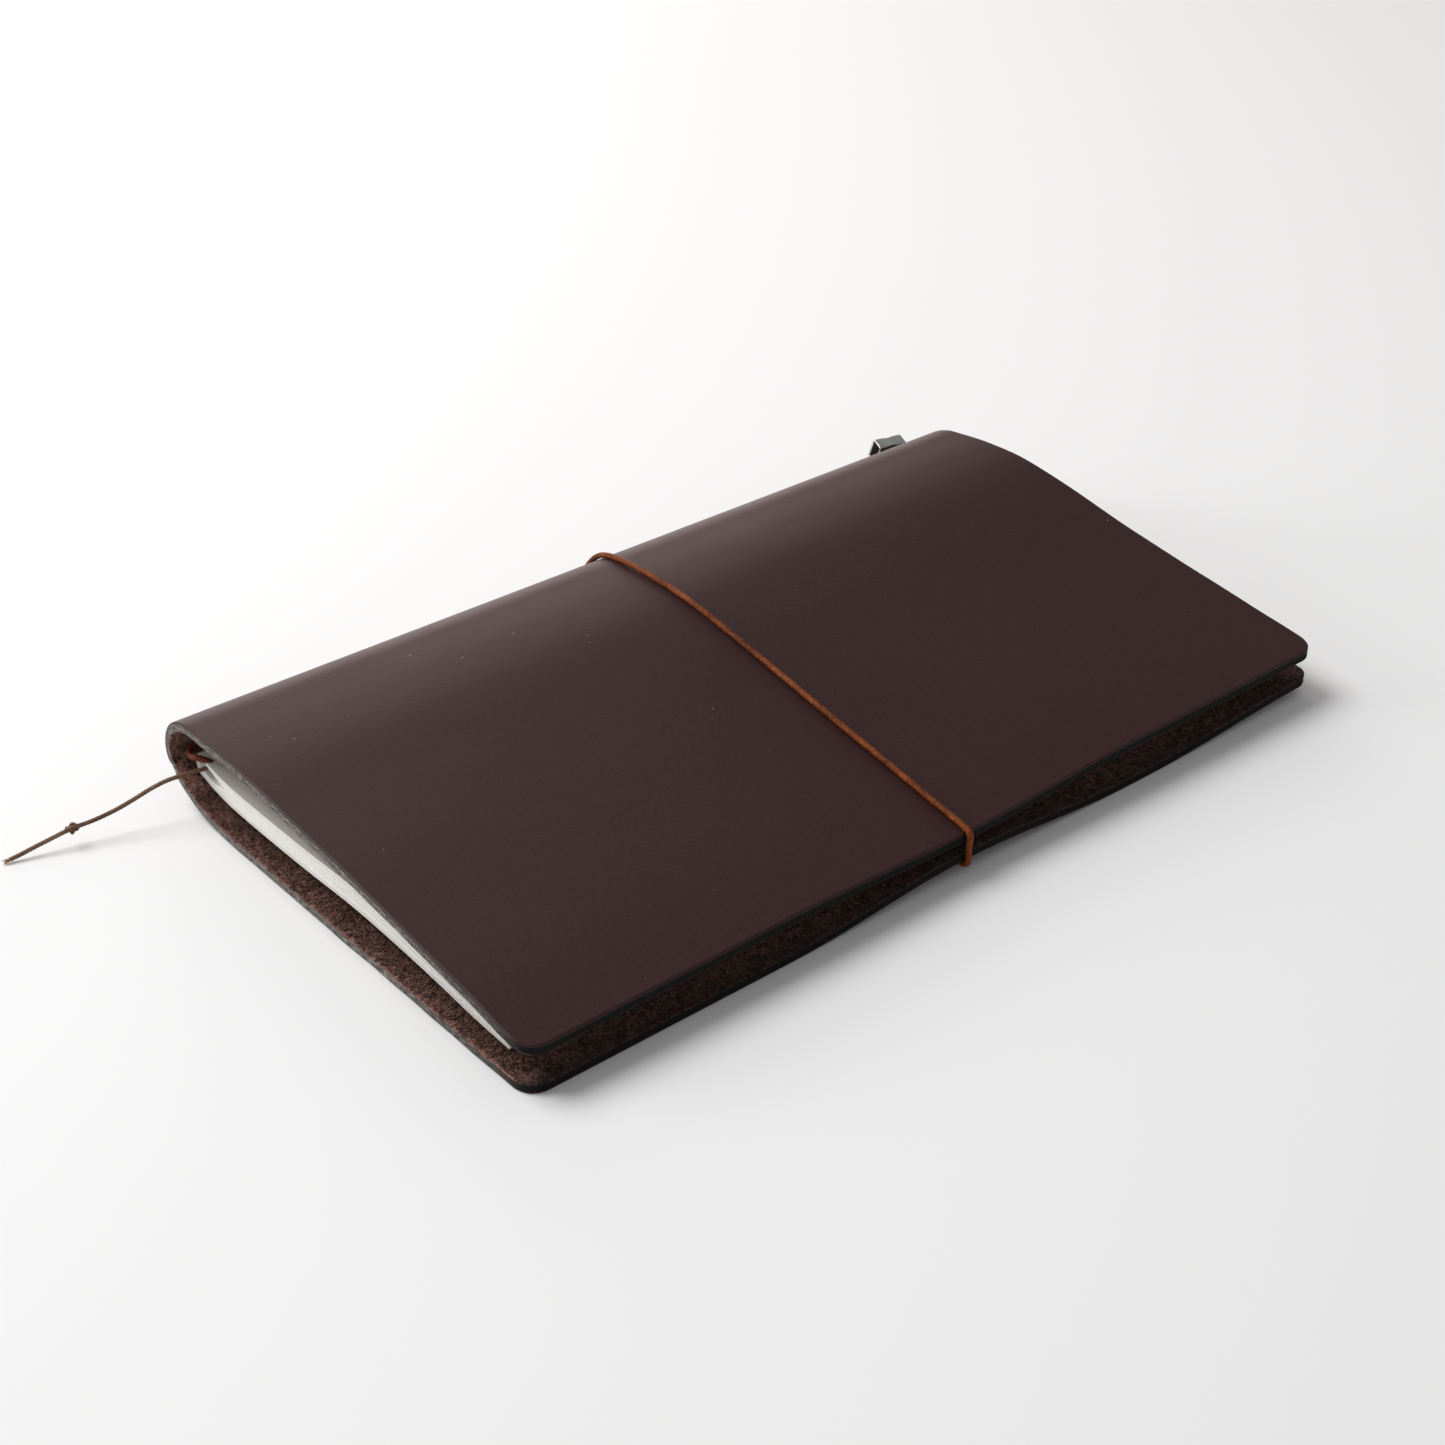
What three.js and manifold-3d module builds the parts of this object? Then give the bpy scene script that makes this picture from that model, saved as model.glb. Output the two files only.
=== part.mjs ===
// Leather notebook cover: one piece of thick leather folded round a stitched paper refill, with the
// band that holds the refill, the elastic that closes the cover, a metal clip and a bookmark cord.
// Millimetres. +X runs from the spine to the fore edge, +Y along the spine, +Z up; the cover lies
// closed on its back panel, whose underside is at z = 0.
import * as THREE from 'three';
import { mergeVertices } from 'three/addons/utils/BufferGeometryUtils.js';
import Module from 'manifold-3d';

// ---- driving dimensions ----
const COVER_LENGTH = 220;          // along the spine
const LEATHER = 2.3;               // thickness of the hide
const FORE_X = 65;                 // fore edge of both panels
const SPINE_X = -63.7;             // outermost line of the spine
const SPINE_Z = 12.4;              // its height
const SPINE_TOP = 22.3;            // height of the front panel where the spine's bend ends
const LOWER_BEND_X = -37.5;        // where the back panel leaves the table
const UPPER_BEND_X = -52;          // where the spine's upper bend turns level
const LOWER_HINGE_ANGLE = 37;      // degrees round the lower bend, from the outermost line
const UPPER_HINGE_ANGLE = 45;      // the same round the upper bend
const HINGE_GAP = 0.3;             // slit between the leather nodes at each fold line
const CORNER_R = 5;                // rounded corners of the panels
const GAP = 0.3;                   // clearance between pieces that touch
const REFILL_CLEARANCE = 0.65;     // refill to leather, where they press on each other

const ELASTIC_D = 1.4;               // closing elastic and refill band
const BOOKMARK_D = 1;
const HOLE_R = 1.75;               // holes for the band, two near each end of the spine
const HOLE_ANGLE = 5;              // degrees round the upper bend
const HOLES_Y = [-98, -86, 86, 106];
const CENTRE_HOLE_R = 2.8;         // hole for the doubled closing elastic
const CLIP = { along: 8, across: 5.8, proud: 3.9, wall: 0.55, angle: 17, y: 99.8 };
const KNOT = { thick: 3.0, across: 4.8 };

const REFILL_LENGTH = 210;
const FOLD_X = -55.6;              // fold of the refill
const FOLD_Z = 10;
const REFILL_FORE_X = 54.2;        // trimmed edge of the refill
const FOLD_THICKNESS = 5.2;        // refill thickness at the fold
const COVER_SHARE = 0.06;          // share of that taken by each card cover
const BUNDLES = 4;                 // leaves are grouped in bundles, per half
const SHEET_GAP = 0.08;            // air between neighbouring bundles
const GUTTER_WIDTH = 5;            // the cords lie this close to the fold, between the two halves
const GUTTER_ROOM = 0.51;          // share of the refill's thickness they take up there
const GUTTER_TAPER = 5;            // the leaves close up again over this distance

// Heights of the front panel's outer face, from the spine's bend to the fore edge.
const FRONT_STATIONS = [-52, -40, -28, -13, 7, 27, 47, 65];
const FRONT_NEAR_Z = [22.3, 22.4, 22.0, 20.6, 18.7, 16.3, 13.8, 10.9];
const FRONT_FAR_Z = [23.1, 24.4, 24.6, 22.8, 19.4, 16.6, 14.1, 11.8];
// Heights of the refill's underside, from its fold to its trimmed edge.
const REFILL_STATIONS = [-55.6, -50, -43, -18, 2, 18, 32, 44, 54.2];
const REFILL_UNDER_Z = [7.4, 6.1, 5.1, 5.1, 5.8, 5.4, 4.5, 3.4, 2.9];

const ROUNDING = 0.4;              // of the line where one height takes over from another

// ---- small helpers ----
const wasm = await Module();
wasm.setup();

const rad = THREE.MathUtils.degToRad;
const lerp = THREE.MathUtils.lerp;
const ramp = (x, from, to) => THREE.MathUtils.smoothstep(x, from, to);

function spread(from, to, steps) {
  return Array.from({ length: steps + 1 }, (_, i) => lerp(from, to, i / steps));
}

// Smooth height along hand-chosen stations, by cubic Hermite pieces.
function heightAlong(xs, zs, x) {
  const last = xs.length - 1;
  const at = Math.min(Math.max(x, xs[0]), xs[last]);
  let i = 0;
  while (i < last - 1 && at > xs[i + 1]) i += 1;
  const slope = (k) => {
    const a = Math.max(k - 1, 0);
    const b = Math.min(k + 1, last);
    return (zs[b] - zs[a]) / (xs[b] - xs[a]);
  };
  const width = xs[i + 1] - xs[i];
  const t = (at - xs[i]) / width;
  const t2 = t * t;
  const t3 = t2 * t;
  return (2 * t3 - 3 * t2 + 1) * zs[i] + (t3 - 2 * t2 + t) * width * slope(i)
    + (3 * t2 - 2 * t3) * zs[i + 1] + (t3 - t2) * width * slope(i + 1);
}

// Rounded larger and smaller of two heights.
const larger = (a, b) => (a + b + Math.hypot(a - b, ROUNDING)) / 2;
const smaller = (a, b) => (a + b - Math.hypot(a - b, ROUNDING)) / 2;

// ---- the leather's shape ----
const ELASTIC_REACH = 48;          // how far along the spine the elastic's pull is felt
const TUNNEL = 2.35;               // the back panel arches this high over the elastic
const TUNNEL_EDGE = 0.6;           // and this much more at the fore edge
const PINCH = 1.45;                // the front panel dips this much under it
const CORNER_CURL = 2.6;           // the back panel's far corner curls up

const pull = (y) => {
  if (Math.abs(y) >= ELASTIC_REACH) return 0;
  return Math.cos((Math.PI * y) / (2 * ELASTIC_REACH)) ** 2;
};

function backRise(x, y) {
  const arch = TUNNEL * ramp(x, -57, -38) + TUNNEL_EDGE * ramp(x, 48, FORE_X);
  const curl = CORNER_CURL * ramp(y, 55, COVER_LENGTH / 2) * ramp(x, 25, FORE_X);
  return pull(y) * arch + curl;
}

function frontHeight(x, y) {
  const along = (y + COVER_LENGTH / 2) / COVER_LENGTH;
  const near = heightAlong(FRONT_STATIONS, FRONT_NEAR_Z, x);
  const far = heightAlong(FRONT_STATIONS, FRONT_FAR_Z, x);
  return lerp(near, far, along) - PINCH * pull(y) * ramp(x, -20, FORE_X);
}

const LOWER_BEND = { x: LOWER_BEND_X, a: LOWER_BEND_X - SPINE_X, b: SPINE_Z, up: -1 };
const UPPER_BEND = { x: UPPER_BEND_X, a: UPPER_BEND_X - SPINE_X, b: SPINE_TOP - SPINE_Z, up: 1 };

// A station on a bend: a point of the outer face and the outward normal, for a given angle.
function bendStation(bend, degrees) {
  const c = Math.cos(rad(degrees));
  const s = Math.sin(rad(degrees));
  const normal = new THREE.Vector2(-c / bend.a, (bend.up * s) / bend.b).normalize();
  return { x: bend.x - bend.a * c, z: SPINE_Z + bend.up * bend.b * s, nx: normal.x, nz: normal.y };
}

const lowerHinge = bendStation(LOWER_BEND, LOWER_HINGE_ANGLE);
const upperHinge = bendStation(UPPER_BEND, UPPER_HINGE_ANGLE);
const slitAngle = (bend, degrees) => {
  const ahead = bendStation(bend, degrees + 1);
  const here = bendStation(bend, degrees);
  return HINGE_GAP / 2 / Math.hypot(ahead.x - here.x, ahead.z - here.z);
};
const lowerSlit = slitAngle(LOWER_BEND, LOWER_HINGE_ANGLE);
const upperSlit = slitAngle(UPPER_BEND, UPPER_HINGE_ANGLE);

const backStations = [
  ...spread(FORE_X, FORE_X - CORNER_R, 2),
  ...spread(FORE_X - CORNER_R, LOWER_BEND_X, 10).slice(1),
].map((x) => ({ x, z: 0, nx: 0, nz: -1 })).concat(
  spread(90, LOWER_HINGE_ANGLE + lowerSlit, 5).slice(1).map((d) => bendStation(LOWER_BEND, d)),
);
const spineStations = spread(LOWER_HINGE_ANGLE - lowerSlit, 0, 4).map((d) => bendStation(LOWER_BEND, d))
  .concat(spread(0, UPPER_HINGE_ANGLE - upperSlit, 4).slice(1).map((d) => bendStation(UPPER_BEND, d)));
const frontStations = spread(UPPER_HINGE_ANGLE + upperSlit, 90, 4).map((d) => bendStation(UPPER_BEND, d))
  .concat([
    ...spread(UPPER_BEND_X, FORE_X - CORNER_R, 12).slice(1),
    ...spread(FORE_X - CORNER_R, FORE_X, 2).slice(1),
  ].map((x) => ({ x, z: SPINE_TOP, nx: 0, nz: 1 })));

const END = COVER_LENGTH / 2;
const CORNER_ROWS = [END, END - 0.35 * CORNER_R, END - CORNER_R];
const MIDDLE_ROWS = [-78, -50, -36, -24, -12, 0, 12, 24, 36, 50, 64, 78, 92];
const ROWS = [
  ...CORNER_ROWS.map((y) => -y),
  ...MIDDLE_ROWS,
  ...CORNER_ROWS.slice().reverse(),
];

// Pulls the last stretch of a panel in at its two rounded corners.
function roundCorner(x, y) {
  const start = FORE_X - CORNER_R;
  const into = (Math.abs(y) - (END - CORNER_R)) / CORNER_R;
  if (into <= 0 || x <= start) return x;
  const slimmest = 0.12;
  return start + (x - start) * Math.max(slimmest, Math.sqrt(1 - into * into));
}

// The front's outer face leaves the level line of the bend and follows its own height.
function frontLift(x, y) {
  const start = upperHinge.x;
  const grown = ramp(x, start, FRONT_STATIONS[1]);
  if (x >= UPPER_BEND_X) return frontHeight(x, y) - SPINE_TOP;
  const full = ramp(UPPER_BEND_X, start, FRONT_STATIONS[1]);
  return (frontHeight(UPPER_BEND_X, y) - SPINE_TOP) * grown / full;
}

const backPoint = (s, y, depth) => new THREE.Vector3(
  roundCorner(s.x, y) - s.nx * depth, y, s.z - s.nz * depth + backRise(s.x, y));
const spinePoint = (s, y, depth) => new THREE.Vector3(s.x - s.nx * depth, y, s.z - s.nz * depth);
const frontPoint = (s, y, depth) => new THREE.Vector3(
  roundCorner(s.x, y) - s.nx * depth, y, s.z - s.nz * depth + frontLift(s.x, y));

// ---- solids ----
function signedVolume(points, faces) {
  const cross = new THREE.Vector3();
  const wedge = ([a, b, c]) => points[a].dot(cross.crossVectors(points[b], points[c])) / 6;
  return faces.reduce((sum, face) => sum + wedge(face), 0);
}

function solidGeometry(points, faces) {
  const outward = signedVolume(points, faces) > 0 ? faces : faces.map(([a, b, c]) => [a, c, b]);
  const geometry = new THREE.BufferGeometry();
  const numbers = points.flatMap((p) => p.toArray());
  geometry.setAttribute('position', new THREE.Float32BufferAttribute(numbers, 3));
  geometry.setIndex(outward.flat());
  geometry.computeVertexNormals();
  return geometry;
}

// A closed slab between an upper and a lower grid of points, both made by point(i, j, side).
function slab(columns, rows, point) {
  const points = [];
  const faces = [];
  const id = (side, i, j) => side * columns * rows + i * rows + j;
  for (const side of [0, 1]) {
    for (let i = 0; i < columns; i += 1) {
      for (let j = 0; j < rows; j += 1) points.push(point(i, j, side));
    }
  }
  const quad = (a, b, c, d) => faces.push([a, b, c], [a, c, d]);
  for (let i = 0; i < columns - 1; i += 1) {
    for (let j = 0; j < rows - 1; j += 1) {
      quad(id(0, i, j), id(0, i + 1, j), id(0, i + 1, j + 1), id(0, i, j + 1));
      quad(id(1, i, j), id(1, i, j + 1), id(1, i + 1, j + 1), id(1, i + 1, j));
    }
  }
  for (let i = 0; i < columns - 1; i += 1) {
    quad(id(0, i, 0), id(1, i, 0), id(1, i + 1, 0), id(0, i + 1, 0));
    quad(id(0, i, rows - 1), id(0, i + 1, rows - 1), id(1, i + 1, rows - 1), id(1, i, rows - 1));
  }
  for (let j = 0; j < rows - 1; j += 1) {
    quad(id(0, 0, j), id(0, 0, j + 1), id(1, 0, j + 1), id(1, 0, j));
    const last = columns - 1;
    quad(id(0, last, j), id(1, last, j), id(1, last, j + 1), id(0, last, j + 1));
  }
  return solidGeometry(points, faces);
}

const leatherSolid = (stations, rows, place) => slab(stations.length, rows.length,
  (i, j, side) => place(stations[i], rows[j], side * LEATHER));

// A round tube along a smooth route.
function tube(route, diameter, steps, closed = false) {
  const section = new THREE.Shape();
  const sides = diameter < 4 ? 8 : 12;
  for (let k = 0; k < sides; k += 1) {
    const angle = (2 * Math.PI * (k + 0.5)) / sides;
    const x = (diameter / 2) * Math.cos(angle);
    const y = (diameter / 2) * Math.sin(angle);
    if (k === 0) section.moveTo(x, y);
    else section.lineTo(x, y);
  }
  const path = new THREE.CatmullRomCurve3(route, closed, 'centripetal');
  return new THREE.ExtrudeGeometry(section, { steps, extrudePath: path, bevelEnabled: false });
}

function toManifold(geometry) {
  const bare = geometry.clone();
  bare.deleteAttribute('normal');
  bare.deleteAttribute('uv');
  const merged = mergeVertices(bare, 1e-5);
  return new wasm.Manifold(new wasm.Mesh({
    numProp: 3,
    vertProperties: new Float32Array(merged.attributes.position.array),
    triVerts: new Uint32Array(merged.index.array),
  }));
}

function fromManifold(manifold) {
  const mesh = manifold.getMesh();
  const geometry = new THREE.BufferGeometry();
  geometry.setAttribute('position', new THREE.BufferAttribute(new Float32Array(mesh.vertProperties), 3));
  geometry.setIndex(new THREE.BufferAttribute(new Uint32Array(mesh.triVerts), 1));
  geometry.computeVertexNormals();
  return geometry;
}

// ---- materials ----
const finish = (color, roughness, metalness = 0) => (
  new THREE.MeshStandardMaterial({ color, roughness, metalness })
);
const LEATHER_FINISH = () => finish(0x3e2e2e, 0.62);
const CARD_FINISH = () => finish(0xe9e4da, 0.85);
const PAPER_FINISH = () => finish(0xf6f3ec, 0.9);
const ELASTIC_FINISH = () => finish(0x7a3f1f, 0.8);
const CORD_FINISH = () => finish(0x4a3122, 0.85);
const TIN_FINISH = () => finish(0x9a9c98, 0.35, 1);

const notebook = new THREE.Group();
function add(name, geometry, material) {
  const mesh = new THREE.Mesh(geometry, material);
  mesh.name = name;
  notebook.add(mesh);
}

// ---- leather cover ----
const bandHole = bendStation(UPPER_BEND, HOLE_ANGLE);
const centreHole = bendStation(UPPER_BEND, 0);

function punch(station, y, radius) {
  const drill = new THREE.CylinderGeometry(radius, radius, 12, 12);
  drill.rotateZ(Math.PI / 2);
  drill.rotateY(-Math.atan2(station.nz, station.nx) + Math.PI);
  drill.translate(station.x, y, station.z);
  return toManifold(drill);
}

const spineRows = [-END, -78, -52, -26, 0, 26, 52, 78, END];
let spine = toManifold(leatherSolid(spineStations, spineRows, spinePoint));
for (const y of HOLES_Y) spine = spine.subtract(punch(bandHole, y, HOLE_R));
spine = spine.subtract(punch(centreHole, 0, CENTRE_HOLE_R));

add('cover_back_panel', leatherSolid(backStations, ROWS, backPoint), LEATHER_FINISH());
add('cover_spine', fromManifold(spine), LEATHER_FINISH());
add('cover_front_panel', leatherSolid(frontStations, ROWS, frontPoint), LEATHER_FINISH());

// ---- refill ----
const refillUnder = (x, y) => larger(
  heightAlong(REFILL_STATIONS, REFILL_UNDER_Z, x),
  backRise(x, y) + LEATHER + REFILL_CLEARANCE,
);
const refillThickness = (x, y) => FOLD_THICKNESS - 0.5 * ramp(x, -20, REFILL_FORE_X)
  - pull(y) * ramp(x, -30, 40);
const refillOver = (x, y) => (x < UPPER_BEND_X
  ? refillUnder(x, y) + refillThickness(x, y)
  : smaller(refillUnder(x, y) + refillThickness(x, y), frontHeight(x, y) - LEATHER - REFILL_CLEARANCE));
const refillHeight = (x, y, share) => {
  // The fold itself keeps its own height, so that both halves meet on one straight line.
  const free = lerp(refillUnder(x, y), refillOver(x, y), share);
  const folded = FOLD_Z + (share - 0.5) * FOLD_THICKNESS;
  return lerp(folded, free, ramp(x, FOLD_X, FOLD_X + 6));
};

const REFILL_END = REFILL_LENGTH / 2;
const refillRows = [-REFILL_END, -48, -24, 0, 24, 48, REFILL_END];

const NEST_STEP = 0.3;             // each bundle's fold sits inside the one before
const refillColumns = [GAP / 2]
  .concat(spread(NEST_STEP, BUNDLES * NEST_STEP, BUNDLES - 1))
  .concat(spread(2.4, GUTTER_WIDTH, 2))
  .concat(spread(GUTTER_WIDTH, GUTTER_WIDTH + GUTTER_TAPER, 3).slice(1))
  .map((offset) => FOLD_X + offset)
  .concat(spread(FOLD_X + 14, REFILL_FORE_X, 6));

// Presses the leaves together beside the cords in the gutter.
function crowd(x, share) {
  const open = ramp(x, FOLD_X + GUTTER_WIDTH, FOLD_X + GUTTER_WIDTH + GUTTER_TAPER);
  const left = 1 - GUTTER_ROOM * (1 - open);
  return share < 0.5 ? share * left : 1 - (1 - share) * left;
}

function refillLayer(fromShare, toShare, startX) {
  const xs = refillColumns.filter((x) => x > startX - 1e-6);
  return slab(xs.length, refillRows.length, (i, j, side) => new THREE.Vector3(
    xs[i], refillRows[j], refillHeight(xs[i], refillRows[j], crowd(xs[i], side ? toShare : fromShare))));
}

const airShare = SHEET_GAP / FOLD_THICKNESS;
const bundleShare = (0.5 - COVER_SHARE - (BUNDLES + 0.5) * airShare) / BUNDLES;
for (const half of ['rear', 'front']) {
  const place = (from, to, startX) => (half === 'rear'
    ? refillLayer(from, to, startX)
    : refillLayer(1 - to, 1 - from, startX));
  add(`refill_cover_${half}`, place(0, COVER_SHARE, FOLD_X + GAP / 2), CARD_FINISH());
  for (let k = 0; k < BUNDLES; k += 1) {
    const from = COVER_SHARE + airShare + k * (bundleShare + airShare);
    const nested = FOLD_X + NEST_STEP * (k + 1);
    add(`leaves_${half}_${k + 1}`, place(from, from + bundleShare, nested), PAPER_FINISH());
  }
}

// ---- what runs in the gutter and through the spine's holes ----
const v = (x, y, z) => new THREE.Vector3(x, y, z);
const gutter = (offset, y, rise) => {
  const x = FOLD_X + offset;
  return v(x, y, refillHeight(x, y, 0.5) + rise);
};
const THREAD_D = 0.5;
const THREAD_END = 96;
const BOOKMARK_OFFSET = 1.7;
const BAND_OFFSET = 3.4;
const THREAD_OFFSET = -0.05;
const BAND_LIFT = 0.12;            // keeps the band midway between leaves that slope away
const gutterRun = (offset, from, to, steps, rise = 0) => spread(from, to, steps)
  .map((y) => gutter(offset, y, rise));

const threadRun = gutterRun(THREAD_OFFSET, -THREAD_END, THREAD_END, 6);
add('binding_thread', tube(threadRun, THREAD_D, 12), PAPER_FINISH());

// A point in line with a hole: depth 0 on the outer face, positive inside the cover.
const inHole = (hole, y, depth) => v(hole.x - hole.nx * depth, y, hole.z - hole.nz * depth);
const [NEAR_END_HOLE, NEAR_HOLE, FAR_HOLE, FAR_END_HOLE] = HOLES_Y;
const BAND_RISE = v(0, 0, 0.55);   // in the far end hole the band lies over the bookmark
const BOOKMARK_DROP = v(0, 0, -1.15);
const nearLoop = [
  v(-59.4, -101.6, 13.6),
  v(-59.2, -105.6, 12.8),
  v(-57.2, -107.5, 12.0),
  v(-54.2, -107.4, 11.7),
  v(-52.7, -107.0, 10.7),
];
const farLoop = [
  v(-52.7, 107.0, 10.7),
  v(-54.2, 107.7, 11.6),
  v(-57.0, 107.9, 12.3),
  v(-59.2, 107.0, 13.1),
];
const bandRoute = [
  inHole(bandHole, NEAR_END_HOLE, LEATHER + GAP),
  inHole(bandHole, NEAR_END_HOLE - 0.4, LEATHER + 1.5),
  ...nearLoop,
  ...gutterRun(BAND_OFFSET, -105.2, 105.2, 8, BAND_LIFT),
  ...farLoop,
  inHole(bandHole, FAR_END_HOLE, LEATHER + GAP).add(BAND_RISE),
];
add('refill_band', tube(bandRoute, ELASTIC_D, 72), ELASTIC_FINISH());

const OUTSIDE = -(GAP + ELASTIC_D / 2);
const RETURN_X = -57.7;
const RETURN_Z = 9.0;
const returnRoute = [
  inHole(bandHole, NEAR_END_HOLE, LEATHER - 0.2),
  inHole(bandHole, NEAR_END_HOLE, 0.2),
  inHole(bandHole, NEAR_END_HOLE + 1.6, OUTSIDE - 0.2),
  inHole(bandHole, (NEAR_END_HOLE + NEAR_HOLE) / 2, OUTSIDE - 0.3),
  inHole(bandHole, NEAR_HOLE - 1.6, OUTSIDE - 0.2),
  inHole(bandHole, NEAR_HOLE, 0.2),
  inHole(bandHole, NEAR_HOLE, LEATHER + 0.6),
  v(-58.4, NEAR_HOLE + 5, 11.6),
  v(RETURN_X, NEAR_HOLE + 14, RETURN_Z + 0.6),
  v(RETURN_X, NEAR_HOLE + 26, RETURN_Z),
  v(RETURN_X, 0, RETURN_Z),
  v(RETURN_X, FAR_HOLE - 26, RETURN_Z),
  v(RETURN_X, FAR_HOLE - 14, RETURN_Z + 0.6),
  v(-58.4, FAR_HOLE - 5, 11.6),
  inHole(bandHole, FAR_HOLE, LEATHER + 0.6),
  inHole(bandHole, FAR_HOLE, 0.2),
  v(-65.2, FAR_HOLE + 0.8, 14.4),
  v(-65.4, FAR_HOLE + 4, 15.7),
  v(-65.4, FAR_HOLE + 7, 15.9),
  v(-65.3, CLIP.y - CLIP.along / 2 + 1.2, 15.8),
];
add('refill_band_return', tube(returnRoute, ELASTIC_D, 80), ELASTIC_FINISH());
const clipEndRoute = [
  inHole(bandHole, FAR_END_HOLE, LEATHER - 0.2).add(BAND_RISE),
  inHole(bandHole, FAR_END_HOLE, 0.4).add(BAND_RISE),
  v(-65.2, FAR_END_HOLE - 0.8, 14.6),
  v(-65.3, CLIP.y + CLIP.along / 2 - 1.2, 15.8),
];
add('refill_band_end', tube(clipEndRoute, ELASTIC_D, 10), ELASTIC_FINISH());

// ---- metal clip: a folded tin tube with both ends open, lying along the spine ----
const rectangle = (shape, w, h) => (
  shape.moveTo(-w, -h).lineTo(w, -h).lineTo(w, h).lineTo(-w, h).closePath()
);
const clipShape = new THREE.Shape();
rectangle(clipShape, CLIP.proud / 2, CLIP.across / 2);
const clipHollow = new THREE.Path();
rectangle(clipHollow, CLIP.proud / 2 - CLIP.wall, CLIP.across / 2 - CLIP.wall);
clipShape.holes.push(clipHollow);
const clipSeat = bendStation(UPPER_BEND, CLIP.angle);
const clipGeometry = new THREE.ExtrudeGeometry(clipShape, { depth: CLIP.along, bevelEnabled: false });
clipGeometry.translate(0, 0, -CLIP.along / 2);
clipGeometry.rotateX(Math.PI / 2);
clipGeometry.rotateY(Math.atan2(clipSeat.nz, -clipSeat.nx));
const clipCentre = inHole(clipSeat, CLIP.y, -(GAP + CLIP.proud / 2));
clipGeometry.translate(clipCentre.x, clipCentre.y, clipCentre.z);
add('metal_clip', clipGeometry, TIN_FINISH());

// ---- closing elastic: both ends pass through the centre hole to a knot inside ----
const STRAND_SHIFT = 1.15;         // the two strands lie side by side in the hole
const EDGE_GAP = 0.8;              // the elastic rounds the sharp edges a little further out
const SPINE_SLANT = 1.8;           // the elastic crosses the front at a slight slant
const FORE_SLANT = -0.9;
const slant = (x) => {
  const across = (x - UPPER_BEND_X) / (FORE_X - UPPER_BEND_X);
  return SPINE_SLANT + (FORE_SLANT - SPINE_SLANT) * across;
};
const overFront = (x) => v(x, slant(x), frontHeight(x, slant(x)) - OUTSIDE);
const ON_TABLE = ELASTIC_D / 2 + 0.02;
const underBack = (x) => {
  const snug = backRise(x, 0) + OUTSIDE;
  const z = ON_TABLE + (snug - ON_TABLE) * ramp(x, -30, 20);
  return v(x, FORE_SLANT * ramp(x, -40, FORE_X), z);
};
const overBend = (degrees, y) => {
  const s = bendStation(UPPER_BEND, degrees);
  return v(s.x - s.nx * OUTSIDE, y, s.z - s.nz * OUTSIDE + (s.x > upperHinge.x ? frontLift(s.x, 0) : 0));
};
const underBend = (degrees, y) => {
  const s = bendStation(LOWER_BEND, degrees);
  const z = s.z - s.nz * OUTSIDE + backRise(s.x, 0);
  return v(s.x - s.nx * OUTSIDE, y, Math.max(z, ON_TABLE));
};
const foreTop = frontHeight(FORE_X, 0);
const foreBottom = backRise(FORE_X, 0);
const strandEnd = (side) => [
  inHole(centreHole, side * STRAND_SHIFT, LEATHER - 0.2),
  inHole(centreHole, side * STRAND_SHIFT, -0.6),
];
const elasticRoute = [
  ...strandEnd(1),
  overBend(15, STRAND_SHIFT),
  overBend(35, 1.7),
  overBend(60, SPINE_SLANT),
  ...[-50, -38, -25, -10, 8, 26, 44, 57].map(overFront),
  v(FORE_X - 0.2, FORE_SLANT, foreTop - OUTSIDE + 0.1),
  v(FORE_X - OUTSIDE + 0.5 * EDGE_GAP, FORE_SLANT, foreTop + 0.1),
  v(FORE_X - OUTSIDE, FORE_SLANT, (foreTop + foreBottom) / 2),
  v(FORE_X - OUTSIDE + 0.4 * EDGE_GAP, FORE_SLANT, foreBottom + 0.2),
  v(FORE_X + 0.8, FORE_SLANT, foreBottom - 1.3),
  ...[60, 42, 22, 0, -20, -36].map(underBack),
  underBend(68, -0.2),
  underBend(52, -0.5),
  underBend(34, -0.8),
  underBend(14, -STRAND_SHIFT),
  ...strandEnd(-1).reverse(),
];
add('closing_elastic', tube(elasticRoute, ELASTIC_D, 80), ELASTIC_FINISH());

const knotAt = inHole(centreHole, 0, LEATHER + GAP + KNOT.thick / 2);
const closingKnot = new THREE.SphereGeometry(0.5, 12, 8);
closingKnot.scale(KNOT.thick, KNOT.across, KNOT.across);
closingKnot.translate(knotAt.x, knotAt.y, knotAt.z);
add('closing_knot', closingKnot, ELASTIC_FINISH());

// ---- bookmark: crimped in the clip, down the gutter, out at the near end ----
const bookmarkInner = [
  v(-65.7, CLIP.y + CLIP.along / 2 + 0.6, 13.1),
  v(-65.1, FAR_END_HOLE - 0.9, 12.4),
  inHole(bandHole, FAR_END_HOLE, 0.0).add(BOOKMARK_DROP),
  inHole(bandHole, FAR_END_HOLE, LEATHER + 0.8).add(BOOKMARK_DROP),
  v(-58.2, FAR_END_HOLE + 1.3, 10.2),
  v(-56.2, FAR_END_HOLE + 1.8, 9.4),
  v(-54.7, FAR_END_HOLE + 1.3, 9.3),
  v(-54.0, 106.1, 9.6),
  ...gutterRun(BOOKMARK_OFFSET, 103.0, -104.6, 8),
];
add('bookmark_inner', tube(bookmarkInner, BOOKMARK_D, 72), CORD_FINISH());

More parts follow.
